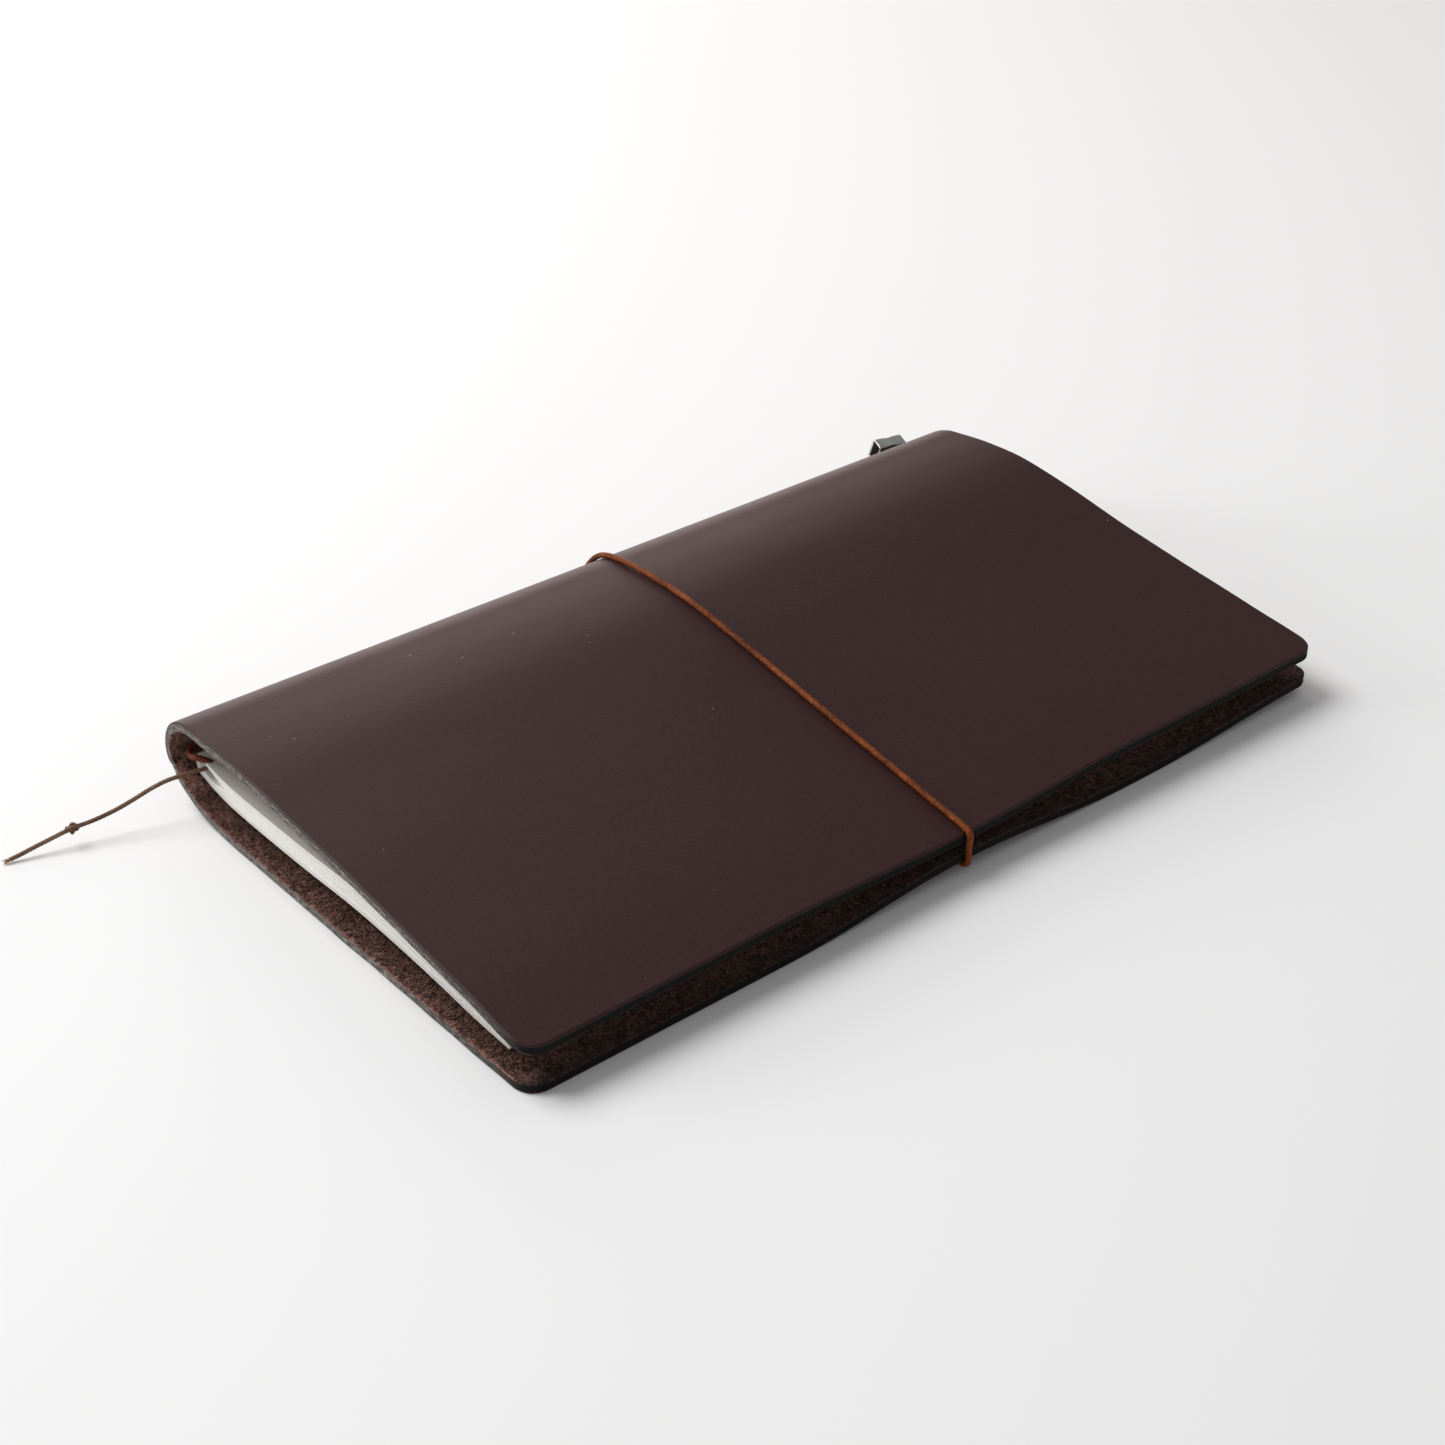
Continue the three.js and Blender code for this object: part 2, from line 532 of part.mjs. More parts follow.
const BOOKMARK_ROUTE = [
  [-54.0, -105.1, 9.8],
  [-54.5, -107.6, 9.6],
  [-55.2, -111.0, 9.5],
  [-55.9, -114.2, 9.2],
  [-56.6, -117.6, 8.3],
  [-57.3, -121.0, 7.1],
  [-58.1, -124.4, 5.9],
  [-58.8, -127.8, 5.0],
  [-59.5, -131.0, 4.4],
  [-59.9, -132.7, 4.2],
];
const TAIL_ROUTE = [
  [-60.6, -136.2, 3.5],
  [-61.1, -139.0, 2.8],
  [-61.7, -142.2, 2.0],
  [-62.2, -145.4, 1.2],
  [-62.8, -148.5, 0.6],
];
const BOOKMARK_KNOT = { at: [-60.2, -134.4, 3.9], size: 2.6 };
const route = (points) => points.map((p) => v(...p));
add('bookmark_cord', tube(route(BOOKMARK_ROUTE), BOOKMARK_D, 12), CORD_FINISH());
const markKnot = new THREE.SphereGeometry(BOOKMARK_KNOT.size / 2, 10, 8);
markKnot.translate(...BOOKMARK_KNOT.at);
add('bookmark_knot', markKnot, CORD_FINISH());
add('bookmark_tail', tube(route(TAIL_ROUTE), BOOKMARK_D, 7), CORD_FINISH());

export default notebook;
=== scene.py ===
"""A folded leather notebook cover with its stitched paper refill, elastics, metal clip and bookmark cord."""
import math
import random

import bpy
import numpy as np
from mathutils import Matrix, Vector, noise


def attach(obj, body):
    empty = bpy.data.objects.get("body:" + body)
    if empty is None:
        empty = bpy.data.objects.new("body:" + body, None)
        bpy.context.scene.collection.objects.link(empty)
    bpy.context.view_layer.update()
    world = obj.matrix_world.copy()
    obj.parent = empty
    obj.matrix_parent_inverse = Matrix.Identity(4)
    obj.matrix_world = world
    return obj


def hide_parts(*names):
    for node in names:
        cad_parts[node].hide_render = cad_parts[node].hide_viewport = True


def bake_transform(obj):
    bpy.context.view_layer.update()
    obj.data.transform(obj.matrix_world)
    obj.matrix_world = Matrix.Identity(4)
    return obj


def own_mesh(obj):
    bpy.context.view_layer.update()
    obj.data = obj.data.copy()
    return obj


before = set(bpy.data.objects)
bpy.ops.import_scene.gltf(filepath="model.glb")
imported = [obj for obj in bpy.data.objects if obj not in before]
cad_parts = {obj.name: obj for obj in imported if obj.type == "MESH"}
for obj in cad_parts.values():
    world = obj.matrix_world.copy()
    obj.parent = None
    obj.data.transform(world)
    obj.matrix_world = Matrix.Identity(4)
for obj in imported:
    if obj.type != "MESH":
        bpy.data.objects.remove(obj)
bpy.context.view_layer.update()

MM = 0.001                      # lengths below are in millimetres unless they say metres
random.seed(7)

# ---- camera ----
camera_data = bpy.data.cameras.new("camera")
camera_data.lens = 60.03
camera_data.sensor_width = 36.0
camera = bpy.data.objects.new("camera", camera_data)
camera.location = (0.33901, -0.29448, 0.28441)
camera.rotation_euler = (math.radians(58.06), 0.0, math.radians(50.04))
bpy.context.collection.objects.link(camera)
bpy.context.scene.camera = camera


# ---- small helpers ----
def ramp(x, start, end):
    t = np.clip((np.asarray(x, float) - start) / (end - start), 0.0, 1.0)
    return t * t * (3.0 - 2.0 * t)


def height_along(xs, zs, x):
    """Smooth height along given stations, by cubic Hermite pieces."""
    xs, zs = np.array(xs, float), np.array(zs, float)
    x = np.clip(np.asarray(x, float), xs[0], xs[-1])
    slopes = np.empty_like(zs)
    slopes[1:-1] = (zs[2:] - zs[:-2]) / (xs[2:] - xs[:-2])
    slopes[0] = (zs[1] - zs[0]) / (xs[1] - xs[0])
    slopes[-1] = (zs[-1] - zs[-2]) / (xs[-1] - xs[-2])
    i = np.clip(np.searchsorted(xs, x, side="left") - 1, 0, len(xs) - 2)
    width = xs[i + 1] - xs[i]
    t = (x - xs[i]) / width
    return (
        (2 * t**3 - 3 * t**2 + 1) * zs[i]
        + (t**3 - 2 * t**2 + t) * width * slopes[i]
        + (3 * t**2 - 2 * t**3) * zs[i + 1]
        + (t**3 - t**2) * width * slopes[i + 1]
    )


def catmull(points, step):
    """Points about a step apart along a smooth curve through the given points."""
    p = np.array(points, float)
    p = np.vstack([2 * p[0] - p[1], p, 2 * p[-1] - p[-2]])
    dense = []
    for k in range(1, len(p) - 2):
        p0, p1, p2, p3 = p[k - 1], p[k], p[k + 1], p[k + 2]
        t0 = 0.0
        t1 = t0 + math.sqrt(np.linalg.norm(p1 - p0))
        t2 = t1 + math.sqrt(np.linalg.norm(p2 - p1))
        t3 = t2 + math.sqrt(np.linalg.norm(p3 - p2))
        t = np.linspace(t1, t2, 40, endpoint=k == len(p) - 3)[:, None]
        a1 = (t1 - t) / (t1 - t0) * p0 + (t - t0) / (t1 - t0) * p1
        a2 = (t2 - t) / (t2 - t1) * p1 + (t - t1) / (t2 - t1) * p2
        a3 = (t3 - t) / (t3 - t2) * p2 + (t - t2) / (t3 - t2) * p3
        b1 = (t2 - t) / (t2 - t0) * a1 + (t - t0) / (t2 - t0) * a2
        b2 = (t3 - t) / (t3 - t1) * a2 + (t - t1) / (t3 - t1) * a3
        dense.append((t2 - t) / (t2 - t1) * b1 + (t - t1) / (t2 - t1) * b2)
    dense = np.vstack(dense)
    along = np.concatenate([[0.0], np.cumsum(np.linalg.norm(np.diff(dense, axis=0), axis=1))])
    count = max(int(round(along[-1] / step)), 2)
    at = np.linspace(0.0, along[-1], count + 1)
    return np.column_stack([np.interp(at, along, dense[:, k]) for k in range(3)])


def mesh_object(name, verts, faces, materials=(), face_materials=None, uvs=None):
    mesh = bpy.data.meshes.new(name)
    mesh.from_pydata((np.asarray(verts) * MM).tolist(), [], [tuple(f) for f in faces])
    for material in materials:
        mesh.materials.append(material)
    if face_materials is not None:
        mesh.polygons.foreach_set("material_index", np.asarray(face_materials, np.int32))
    if uvs is not None:
        layer = mesh.uv_layers.new(name="UVMap")
        loops = np.empty(len(mesh.loops), np.int32)
        mesh.loops.foreach_get("vertex_index", loops)
        layer.data.foreach_set("uv", np.asarray(uvs, np.float32)[loops].ravel())
    mesh.shade_smooth()
    mesh.validate()
    obj = bpy.data.objects.new(name, mesh)
    bpy.context.collection.objects.link(obj)
    return obj


def frames_along(path):
    """Tangents and two cross directions at each point, turned as little as possible."""
    tangents = np.gradient(path, axis=0)
    tangents /= np.linalg.norm(tangents, axis=1)[:, None]
    side = np.cross(tangents[0], [0.0, 0.0, 1.0])
    if np.linalg.norm(side) < 0.1:
        side = np.cross(tangents[0], [0.0, 1.0, 0.0])
    sides = []
    for tangent in tangents:
        side = side - tangent * (side @ tangent)
        side = side / np.linalg.norm(side)
        sides.append(side)
    sides = np.array(sides)
    return tangents, sides, np.cross(tangents, sides)


def tube(name, path, radius, sides, materials, relief=None, taper=None):
    """A closed tube round a path. relief(angle, distance) scales its radius point by point."""
    tangents, across, up = frames_along(path)
    lengths = np.concatenate([[0.0], np.cumsum(np.linalg.norm(np.diff(path, axis=0), axis=1))])
    angle = np.linspace(0.0, 2 * math.pi, sides, endpoint=False)
    grid_angle, grid_length = np.meshgrid(angle, lengths)
    radii = radius * (relief(grid_angle, grid_length) if relief else np.ones_like(grid_angle))
    if taper is not None:
        radii = radii * taper(lengths / lengths[-1])[:, None]
    ring = across[:, None, :] * np.cos(angle)[None, :, None] + up[:, None, :] * np.sin(angle)[None, :, None]
    verts = (path[:, None, :] + ring * radii[:, :, None]).reshape(-1, 3)
    verts = np.vstack([verts, path[0], path[-1]])
    uvs = np.column_stack([grid_angle.ravel() / (2 * math.pi), grid_length.ravel() * 0.1])
    uvs = np.vstack([uvs, [0.5, 0.0], [0.5, lengths[-1] * 0.1]])
    rings = len(path)
    faces = []
    for i in range(rings - 1):
        for k in range(sides):
            n = (k + 1) % sides
            faces.append((i * sides + k, i * sides + n, (i + 1) * sides + n, (i + 1) * sides + k))
    start, end = rings * sides, rings * sides + 1
    for k in range(sides):
        n = (k + 1) % sides
        faces.append((start, n, k))
        faces.append((end, (rings - 1) * sides + k, (rings - 1) * sides + n))
    return mesh_object(name, verts, faces, materials, uvs=uvs)


# ---- materials ----
class Nodes:
    """A material's node tree, with short calls for the nodes used here."""

    def __init__(self, name, roughness, **sockets):
        self.material = bpy.data.materials.new(name)
        self.material.use_nodes = True
        self.tree = self.material.node_tree
        self.shader = self.tree.nodes["Principled BSDF"]
        self.shader.inputs["Roughness"].default_value = roughness
        for socket, value in sockets.items():
            self.shader.inputs[socket.replace("_", " ")].default_value = value
        coordinates = self.tree.nodes.new("ShaderNodeTexCoord")
        self.place = coordinates.outputs["Object"]
        self.along = coordinates.outputs["UV"]

    def link(self, source, target):
        self.tree.links.new(source, target)

    def mapped(self, scale, source=None):
        node = self.tree.nodes.new("ShaderNodeMapping")
        node.inputs["Scale"].default_value = scale
        self.link(source or self.place, node.inputs["Vector"])
        return node.outputs["Vector"]

    def noise(self, scale, detail=4.0, roughness=0.6, vector=None, distortion=0.0):
        node = self.tree.nodes.new("ShaderNodeTexNoise")
        node.inputs["Scale"].default_value = scale
        node.inputs["Detail"].default_value = detail
        node.inputs["Roughness"].default_value = roughness
        node.inputs["Distortion"].default_value = distortion
        self.link(vector or self.place, node.inputs["Vector"])
        return node.outputs["Fac"]

    def cells(self, scale, feature="F1", vector=None):
        node = self.tree.nodes.new("ShaderNodeTexVoronoi")
        node.feature = feature
        node.inputs["Scale"].default_value = scale
        self.link(vector or self.place, node.inputs["Vector"])
        return node.outputs["Distance"]

    def from_fore_edge(self):
        """Distance from the nearer fore edge of the hide, as its UV map holds it: 1.0 is 100 mm."""
        node = self.tree.nodes.new("ShaderNodeSeparateXYZ")
        self.link(self.along, node.inputs["Vector"])
        return node.outputs["X"]

    def curve(self, source, stops):
        """Colour or grey by value: stops are (position, colour)."""
        node = self.tree.nodes.new("ShaderNodeValToRGB")
        elements = node.color_ramp.elements
        while len(elements) < len(stops):
            elements.new(0.5)
        for element, (position, colour) in zip(elements, stops):
            element.position = position
            element.color = colour if len(colour) == 4 else (*colour, 1.0)
        self.link(source, node.inputs["Fac"])
        return node.outputs["Color"]

    def mix(self, factor, a, b, mode="MIX"):
        node = self.tree.nodes.new("ShaderNodeMix")
        node.data_type = "RGBA"
        node.blend_type = mode
        for socket, value in ((node.inputs[0], factor), (node.inputs[6], a), (node.inputs[7], b)):
            if isinstance(value, (int, float)):
                socket.default_value = value
            elif isinstance(value, tuple):
                socket.default_value = (*value, 1.0)
            else:
                self.link(value, socket)
        return node.outputs[2]

    def colour(self, source):
        self.link(source, self.shader.inputs["Base Color"])

    def rough(self, source):
        self.link(source, self.shader.inputs["Roughness"])

    def bump(self, *layers):
        """Each layer is (height, strength, distance in metres)."""
        normal = None
        for height, strength, distance in layers:
            node = self.tree.nodes.new("ShaderNodeBump")
            node.inputs["Strength"].default_value = strength
            node.inputs["Distance"].default_value = distance
            self.link(height, node.inputs["Height"])
            if normal is not None:
                self.link(normal, node.inputs["Normal"])
            normal = node.outputs["Normal"]
        self.link(normal, self.shader.inputs["Normal"])


def grey(value):
    return (value, value, value)


def leather_material():
    n = Nodes("smooth_leather", 0.5, IOR=1.45)
    n.shader.inputs["Specular IOR Level"].default_value = 0.30
    n.shader.inputs["Sheen Weight"].default_value = 0.40
    n.shader.inputs["Sheen Roughness"].default_value = 0.18
    n.shader.inputs["Sheen Tint"].default_value = (1.0, 0.78, 0.70, 1.0)
    tone = n.noise(28.0, 5.0, 0.6)
    blotches = n.curve(tone, [(0.3, (0.0265, 0.0066, 0.0066)), (0.7, (0.0315, 0.0086, 0.0085))])
    fine = n.noise(1500.0, 3.0, 0.7)
    pores = n.curve(fine, [(0.35, (0.020, 0.0048, 0.0048)), (0.65, (0.038, 0.0104, 0.0102))])
    mottled = n.mix(0.5, blotches, pores)
    specks = n.curve(n.cells(240.0), [(0.045, grey(1.0)), (0.07, grey(0.0))])
    rare = n.curve(n.noise(60.0, 2.0), [(0.56, grey(0.0)), (0.64, grey(1.0))])
    marks = n.mix(1.0, specks, rare, "MULTIPLY")
    n.colour(n.mix(marks, mottled, (0.16, 0.12, 0.11)))
    n.rough(n.curve(n.noise(45.0, 4.0), [(0.3, grey(0.50)), (0.7, grey(0.54))]))
    pebble = n.cells(1150.0, "SMOOTH_F1")
    n.bump((pebble, 0.16, 0.00012), (fine, 0.22, 0.00008))
    return n.material


def suede_material():
    n = Nodes("flesh_side_suede", 0.95, IOR=1.35)
    n.shader.inputs["Specular IOR Level"].default_value = 0.15
    n.shader.inputs["Sheen Weight"].default_value = 0.06
    n.shader.inputs["Sheen Roughness"].default_value = 0.6
    clumps = n.noise(540.0, 3.0, 0.6, distortion=1.2)
    fibre = n.noise(1250.0, 4.0, 0.7, distortion=1.6)
    tone = n.curve(clumps, [(0.38, (0.024, 0.0095, 0.0075)), (0.5, (0.150, 0.066, 0.050)),
                            (0.58, (0.32, 0.165, 0.125))])
    strands = n.curve(fibre, [(0.38, (0.020, 0.0085, 0.0070)), (0.5, (0.160, 0.072, 0.056)),
                              (0.60, (0.46, 0.29, 0.22))])
    mottled = n.mix(0.5, tone, strands)
    # Painted shade: near-black dots stand for the shade in the pits between the suede's clumps.
    painted_pit_shade = n.curve(n.cells(560.0), [(0.10, grey(1.0)), (0.22, grey(0.0))])
    with_painted_pit_shade = n.mix(painted_pit_shade, mottled, (0.006, 0.003, 0.0025))
    # Painted shade: the flesh side darkens within 6 mm of the fore edge, where the narrow gap between the
    # panels lies in shade.
    fore_edge_painted_shade = n.curve(n.from_fore_edge(), [(0.005, grey(0.22)), (0.06, grey(1.0))])
    n.colour(n.mix(1.0, with_painted_pit_shade, fore_edge_painted_shade, "MULTIPLY"))
    n.bump((clumps, 1.0, 0.0009), (fibre, 0.8, 0.0004))
    return n.material


def edge_material():
    """Cut leather: grey and open near the spine, darker towards the fore edge, for its burnish and for
    painted shade on the fore-edge faces.
    """
    n = Nodes("cut_edge", 0.72, IOR=1.4)
    n.shader.inputs["Specular IOR Level"].default_value = 0.14
    streaks = n.noise(1.0, 5.0, 0.7, n.mapped((500.0, 500.0, 1600.0)))
    grain = n.noise(900.0, 4.0, 0.7)
    layers = n.curve(streaks, [(0.34, (0.026, 0.024, 0.022)), (0.5, (0.12, 0.112, 0.105)),
                               (0.64, (0.36, 0.34, 0.315))])
    fuzz = n.curve(grain, [(0.40, (0.020, 0.018, 0.017)), (0.60, (0.26, 0.24, 0.222))])
    open_cut = n.mix(0.45, layers, fuzz)
    # Painted shade: the cut edge darkens towards the fore edge, whose faces turn away from the lamps; the
    # dark colour also stands for the burnish.
    burnished_and_shaded_cut = n.curve(streaks, [(0.3, (0.004, 0.0035, 0.0035)), (0.7, (0.013, 0.011, 0.011))])
    shade_towards_fore_edge = n.curve(n.from_fore_edge(), [(0.02, grey(0.0)), (0.10, grey(0.5)), (0.45, grey(1.0))])
    n.colour(n.mix(shade_towards_fore_edge, burnished_and_shaded_cut, open_cut))
    n.bump((streaks, 0.6, 0.0003), (grain, 0.5, 0.0003))
    return n.material


def paper_material(name, light, shade, roughness):
    n = Nodes(name, roughness, IOR=1.4)
    fibre = n.noise(700.0, 4.0, 0.6)
    n.colour(n.curve(fibre, [(0.3, shade), (0.7, light)]))
    n.bump((fibre, 0.12, 0.00006))
    return n.material


def cord_material(name, dark, middle, light, scale):
    n = Nodes(name, 0.55, IOR=1.4)
    n.shader.inputs["Specular IOR Level"].default_value = 0.16
    threads = n.noise(scale, 4.0, 0.65)
    wide = n.noise(scale * 0.08, 3.0)
    n.colour(n.mix(0.35, n.curve(threads, [(0.3, dark), (0.5, middle), (0.72, light)]),
                   n.curve(wide, [(0.35, dark), (0.65, light)])))
    n.bump((threads, 0.35, 0.0001))
    return n.material


def tin_material():
    n = Nodes("dull_tin", 0.36, Metallic=1.0)
    brushed = n.noise(1.0, 4.0, 0.6, n.mapped((3000.0, 300.0, 3000.0)))
    n.colour(n.curve(n.noise(350.0, 3.0), [(0.3, (0.42, 0.43, 0.41)), (0.7, (0.60, 0.61, 0.58))]))
    n.rough(n.curve(brushed, [(0.3, grey(0.28)), (0.7, grey(0.46))]))
    n.bump((brushed, 0.12, 0.00005))
    return n.material


LEATHER_SKIN = leather_material()
SUEDE = suede_material()
CUT_EDGE = edge_material()
PAPER = paper_material("page_paper", (0.87, 0.86, 0.83), (0.82, 0.81, 0.775), 0.9)
CARD = paper_material("cover_card", (0.80, 0.77, 0.72), (0.74, 0.71, 0.65), 0.85)
THREAD = paper_material("binding_thread_cotton", (0.85, 0.84, 0.80), (0.70, 0.68, 0.64), 0.8)
BRAID_GRAIN, WAXED_GRAIN = 1600.0, 2200.0
ELASTIC = cord_material("braided_elastic", (0.030, 0.006, 0.001), (0.12, 0.024, 0.004),
                        (0.34, 0.095, 0.022), BRAID_GRAIN)
# Painted shade: a darker copy of the elastic's colours for the refill band, whose loop lies in shade inside
# the spine's roll.
ELASTIC_SHADED = cord_material("braided_elastic_shaded", (0.07, 0.014, 0.008), (0.14, 0.032, 0.018),
                             (0.22, 0.065, 0.036), BRAID_GRAIN)
BOOKMARK = cord_material("waxed_cord", (0.070, 0.034, 0.020), (0.16, 0.092, 0.058),
                         (0.33, 0.215, 0.145), WAXED_GRAIN)
FRAY = cord_material("waxed_cord_frayed", (0.26, 0.16, 0.08), (0.42, 0.28, 0.15),
                     (0.60, 0.44, 0.27), WAXED_GRAIN)
TIN = tin_material()

# ---- the cover's measures, as in the CAD part ----
COVER_END = 110.0
LEATHER = 2.3
FORE_X = 65.0
SPINE_X = -63.7
SPINE_Z = 12.4
SPINE_TOP = 22.3
LOWER_BEND_X = -37.5
UPPER_BEND_X = -52.0
UPPER_HINGE_ANGLE = 45.0
CORNER_R = 5.0
ELASTIC_D = 1.4
BOOKMARK_D = 1.0
FRONT_STATIONS = [-52, -40, -28, -13, 7, 27, 47, 65]
FRONT_NEAR_Z = [22.3, 22.4, 22.0, 20.6, 18.7, 16.3, 13.8, 10.9]
FRONT_FAR_Z = [23.1, 24.4, 24.6, 22.8, 19.4, 16.6, 14.1, 11.8]
ELASTIC_REACH = 48.0            # the elastic draws both panels together this far to each side
BACK_ARCH, FORE_ARCH, FRONT_DIP = 2.35, 0.6, 1.45
FAR_CORNER_CURL = 2.6


def pull(y):
    """How much of the elastic's pull is felt at y."""
    y = np.asarray(y, float)
    return np.where(np.abs(y) < ELASTIC_REACH, np.cos(np.pi * y / (2 * ELASTIC_REACH)) ** 2, 0.0)


def back_rise(x, y):
    """Height of the back panel's outer face."""
    arch = BACK_ARCH * ramp(x, -57, -38) + FORE_ARCH * ramp(x, 48, FORE_X)
    curl = FAR_CORNER_CURL * ramp(y, 55, COVER_END) * ramp(x, 25, FORE_X)
    return pull(y) * arch + curl


def front_height(x, y):
    """Height of the front panel's outer face."""
    along = (np.asarray(y, float) + COVER_END) / (2 * COVER_END)
    near = height_along(FRONT_STATIONS, FRONT_NEAR_Z, x)
    far = height_along(FRONT_STATIONS, FRONT_FAR_Z, x)
    return near + (far - near) * along - FRONT_DIP * pull(y) * ramp(x, -20, FORE_X)


UPPER_HINGE_X = UPPER_BEND_X - (UPPER_BEND_X - SPINE_X) * math.cos(math.radians(UPPER_HINGE_ANGLE))


def front_lift(x, y):
    """What front_height adds to the plain section of the spine and the front panel."""
    x = np.asarray(x, float)
    grown = ramp(x, UPPER_HINGE_X, -40) / ramp(UPPER_BEND_X, UPPER_HINGE_X, -40)
    bend = (front_height(UPPER_BEND_X, y) - SPINE_TOP) * np.minimum(grown, 1.0)
    return np.where(x >= UPPER_BEND_X, front_height(x, y) - SPINE_TOP, bend)


def bend_station(upper, degrees):
    """(x, z, nx, nz) on the outer face of one of the spine's bends."""
    a = np.radians(degrees)
    half_x = (UPPER_BEND_X if upper else LOWER_BEND_X) - SPINE_X
    half_z = SPINE_TOP - SPINE_Z if upper else SPINE_Z
    up = 1.0 if upper else -1.0
    x = SPINE_X + half_x * (1 - np.cos(a))
    z = SPINE_Z + up * half_z * np.sin(a)
    nx, nz = -np.cos(a) / half_x, up * np.sin(a) / half_z
    size = np.hypot(nx, nz)
    return x, z, nx / size, nz / size


def hide_section():
    """The hide's section, from the back panel's fore edge round the spine to the front panel's."""
    steps = 60
    lower = [(x, 0.0, 0.0, -1.0) for x in np.linspace(FORE_X, LOWER_BEND_X, steps)]
    lower += list(zip(*bend_station(False, np.linspace(90, 0, steps)[1:])))
    upper = list(zip(*bend_station(True, np.linspace(0, 90, steps)[1:])))
    upper += [(x, SPINE_TOP, 0.0, 1.0) for x in np.linspace(UPPER_BEND_X, FORE_X, steps)[1:]]
    points = np.array(lower + upper)
    along = np.concatenate([[0.0], np.cumsum(np.hypot(np.diff(points[:, 0]), np.diff(points[:, 1])))])
    return points, along, along[len(lower) - 1]


SECTION, SECTION_ALONG, SEAM_AT = hide_section()
SECTION_END = SECTION_ALONG[-1]


def hide_point(u, y, depth):
    """A point of the hide: u runs along the section, depth 0 is the outer face."""
    x, z, nx, nz = (np.interp(u, SECTION_ALONG, SECTION[:, k]) for k in range(4))
    size = np.hypot(nx, nz)
    nx, nz = nx / size, nz / size
    lift = np.where(u < SEAM_AT, back_rise(x, y), front_lift(x, y))
    return np.stack([x - nx * depth, y + 0 * x, z - nz * depth + lift], axis=-1)


def soft_noise(points, size, seed):
    return np.array([noise.noise(Vector(p) / size + Vector((seed, 0.0, 0.0))) for p in points])


BAND_HOLE = bend_station(True, 5.0)
CENTRE_HOLE = bend_station(True, 0.0)
NEAR_END_HOLE, NEAR_HOLE, FAR_HOLE, FAR_END_HOLE = -98.0, -86.0, 86.0, 106.0
BAND_HOLE_R, CENTRE_HOLE_R = 1.75, 2.8
BAND_HOLE_AT = SEAM_AT + math.hypot(BAND_HOLE[0] - SPINE_X, BAND_HOLE[1] - SPINE_Z)
HOLES = [(BAND_HOLE_AT, y, BAND_HOLE_R) for y in (NEAR_END_HOLE, NEAR_HOLE, FAR_HOLE, FAR_END_HOLE)]
HOLES.append((SEAM_AT, 0.0, CENTRE_HOLE_R))


# ---- leather ----
EDGE_STEPS = np.array([0.0, 0.05, 0.12, 0.22, 0.35, 0.55, 0.9, 1.4, 2.0, 2.7, 3.4, 4.2, 5.0])
OUTER_ROUND = 0.42
INNER_ROUND = 0.3
SUEDE_SUNK = 0.06               # the flesh side lies this much below full thickness, on average
FINE_STEP = 0.3                 # grid step round the holes
SKIN, FLESH, CUT = 0, 1, 2      # places of the materials on the hide
UV_SCALE = 0.01


def sunk(distance, radius):
    """How far a rounded edge falls away, this far in from the cut."""
    inside = np.clip(radius - distance, 0.0, radius)
    return radius - np.sqrt(radius**2 - inside**2)


def hide_grid_lines():
    """Grid lines across and along the hide: close at its edges and round its holes."""
    edge = EDGE_STEPS[:-1]
    middle_u = np.linspace(EDGE_STEPS[-1], SEAM_AT, 88)
    middle_u = np.concatenate([middle_u, np.linspace(SEAM_AT, SECTION_END - EDGE_STEPS[-1], 88)[1:]])
    around_holes = SEAM_AT + np.arange(-3.6, 3.61, FINE_STEP)
    middle_u = np.concatenate([middle_u[np.abs(middle_u - SEAM_AT) > 3.9], around_holes])
    us = np.sort(np.concatenate([edge, middle_u, SECTION_END - edge]))
    middle_v = np.linspace(-COVER_END + EDGE_STEPS[-1], COVER_END - EDGE_STEPS[-1], 104)
    vs = np.concatenate([edge - COVER_END, middle_v, COVER_END - edge])
    for _, y, radius in HOLES:
        near_hole = np.arange(-radius - 0.6, radius + 0.61, FINE_STEP) + y
        vs = np.concatenate([vs[np.abs(vs - y) > radius + 0.8], near_hole])
    return us, np.sort(vs)


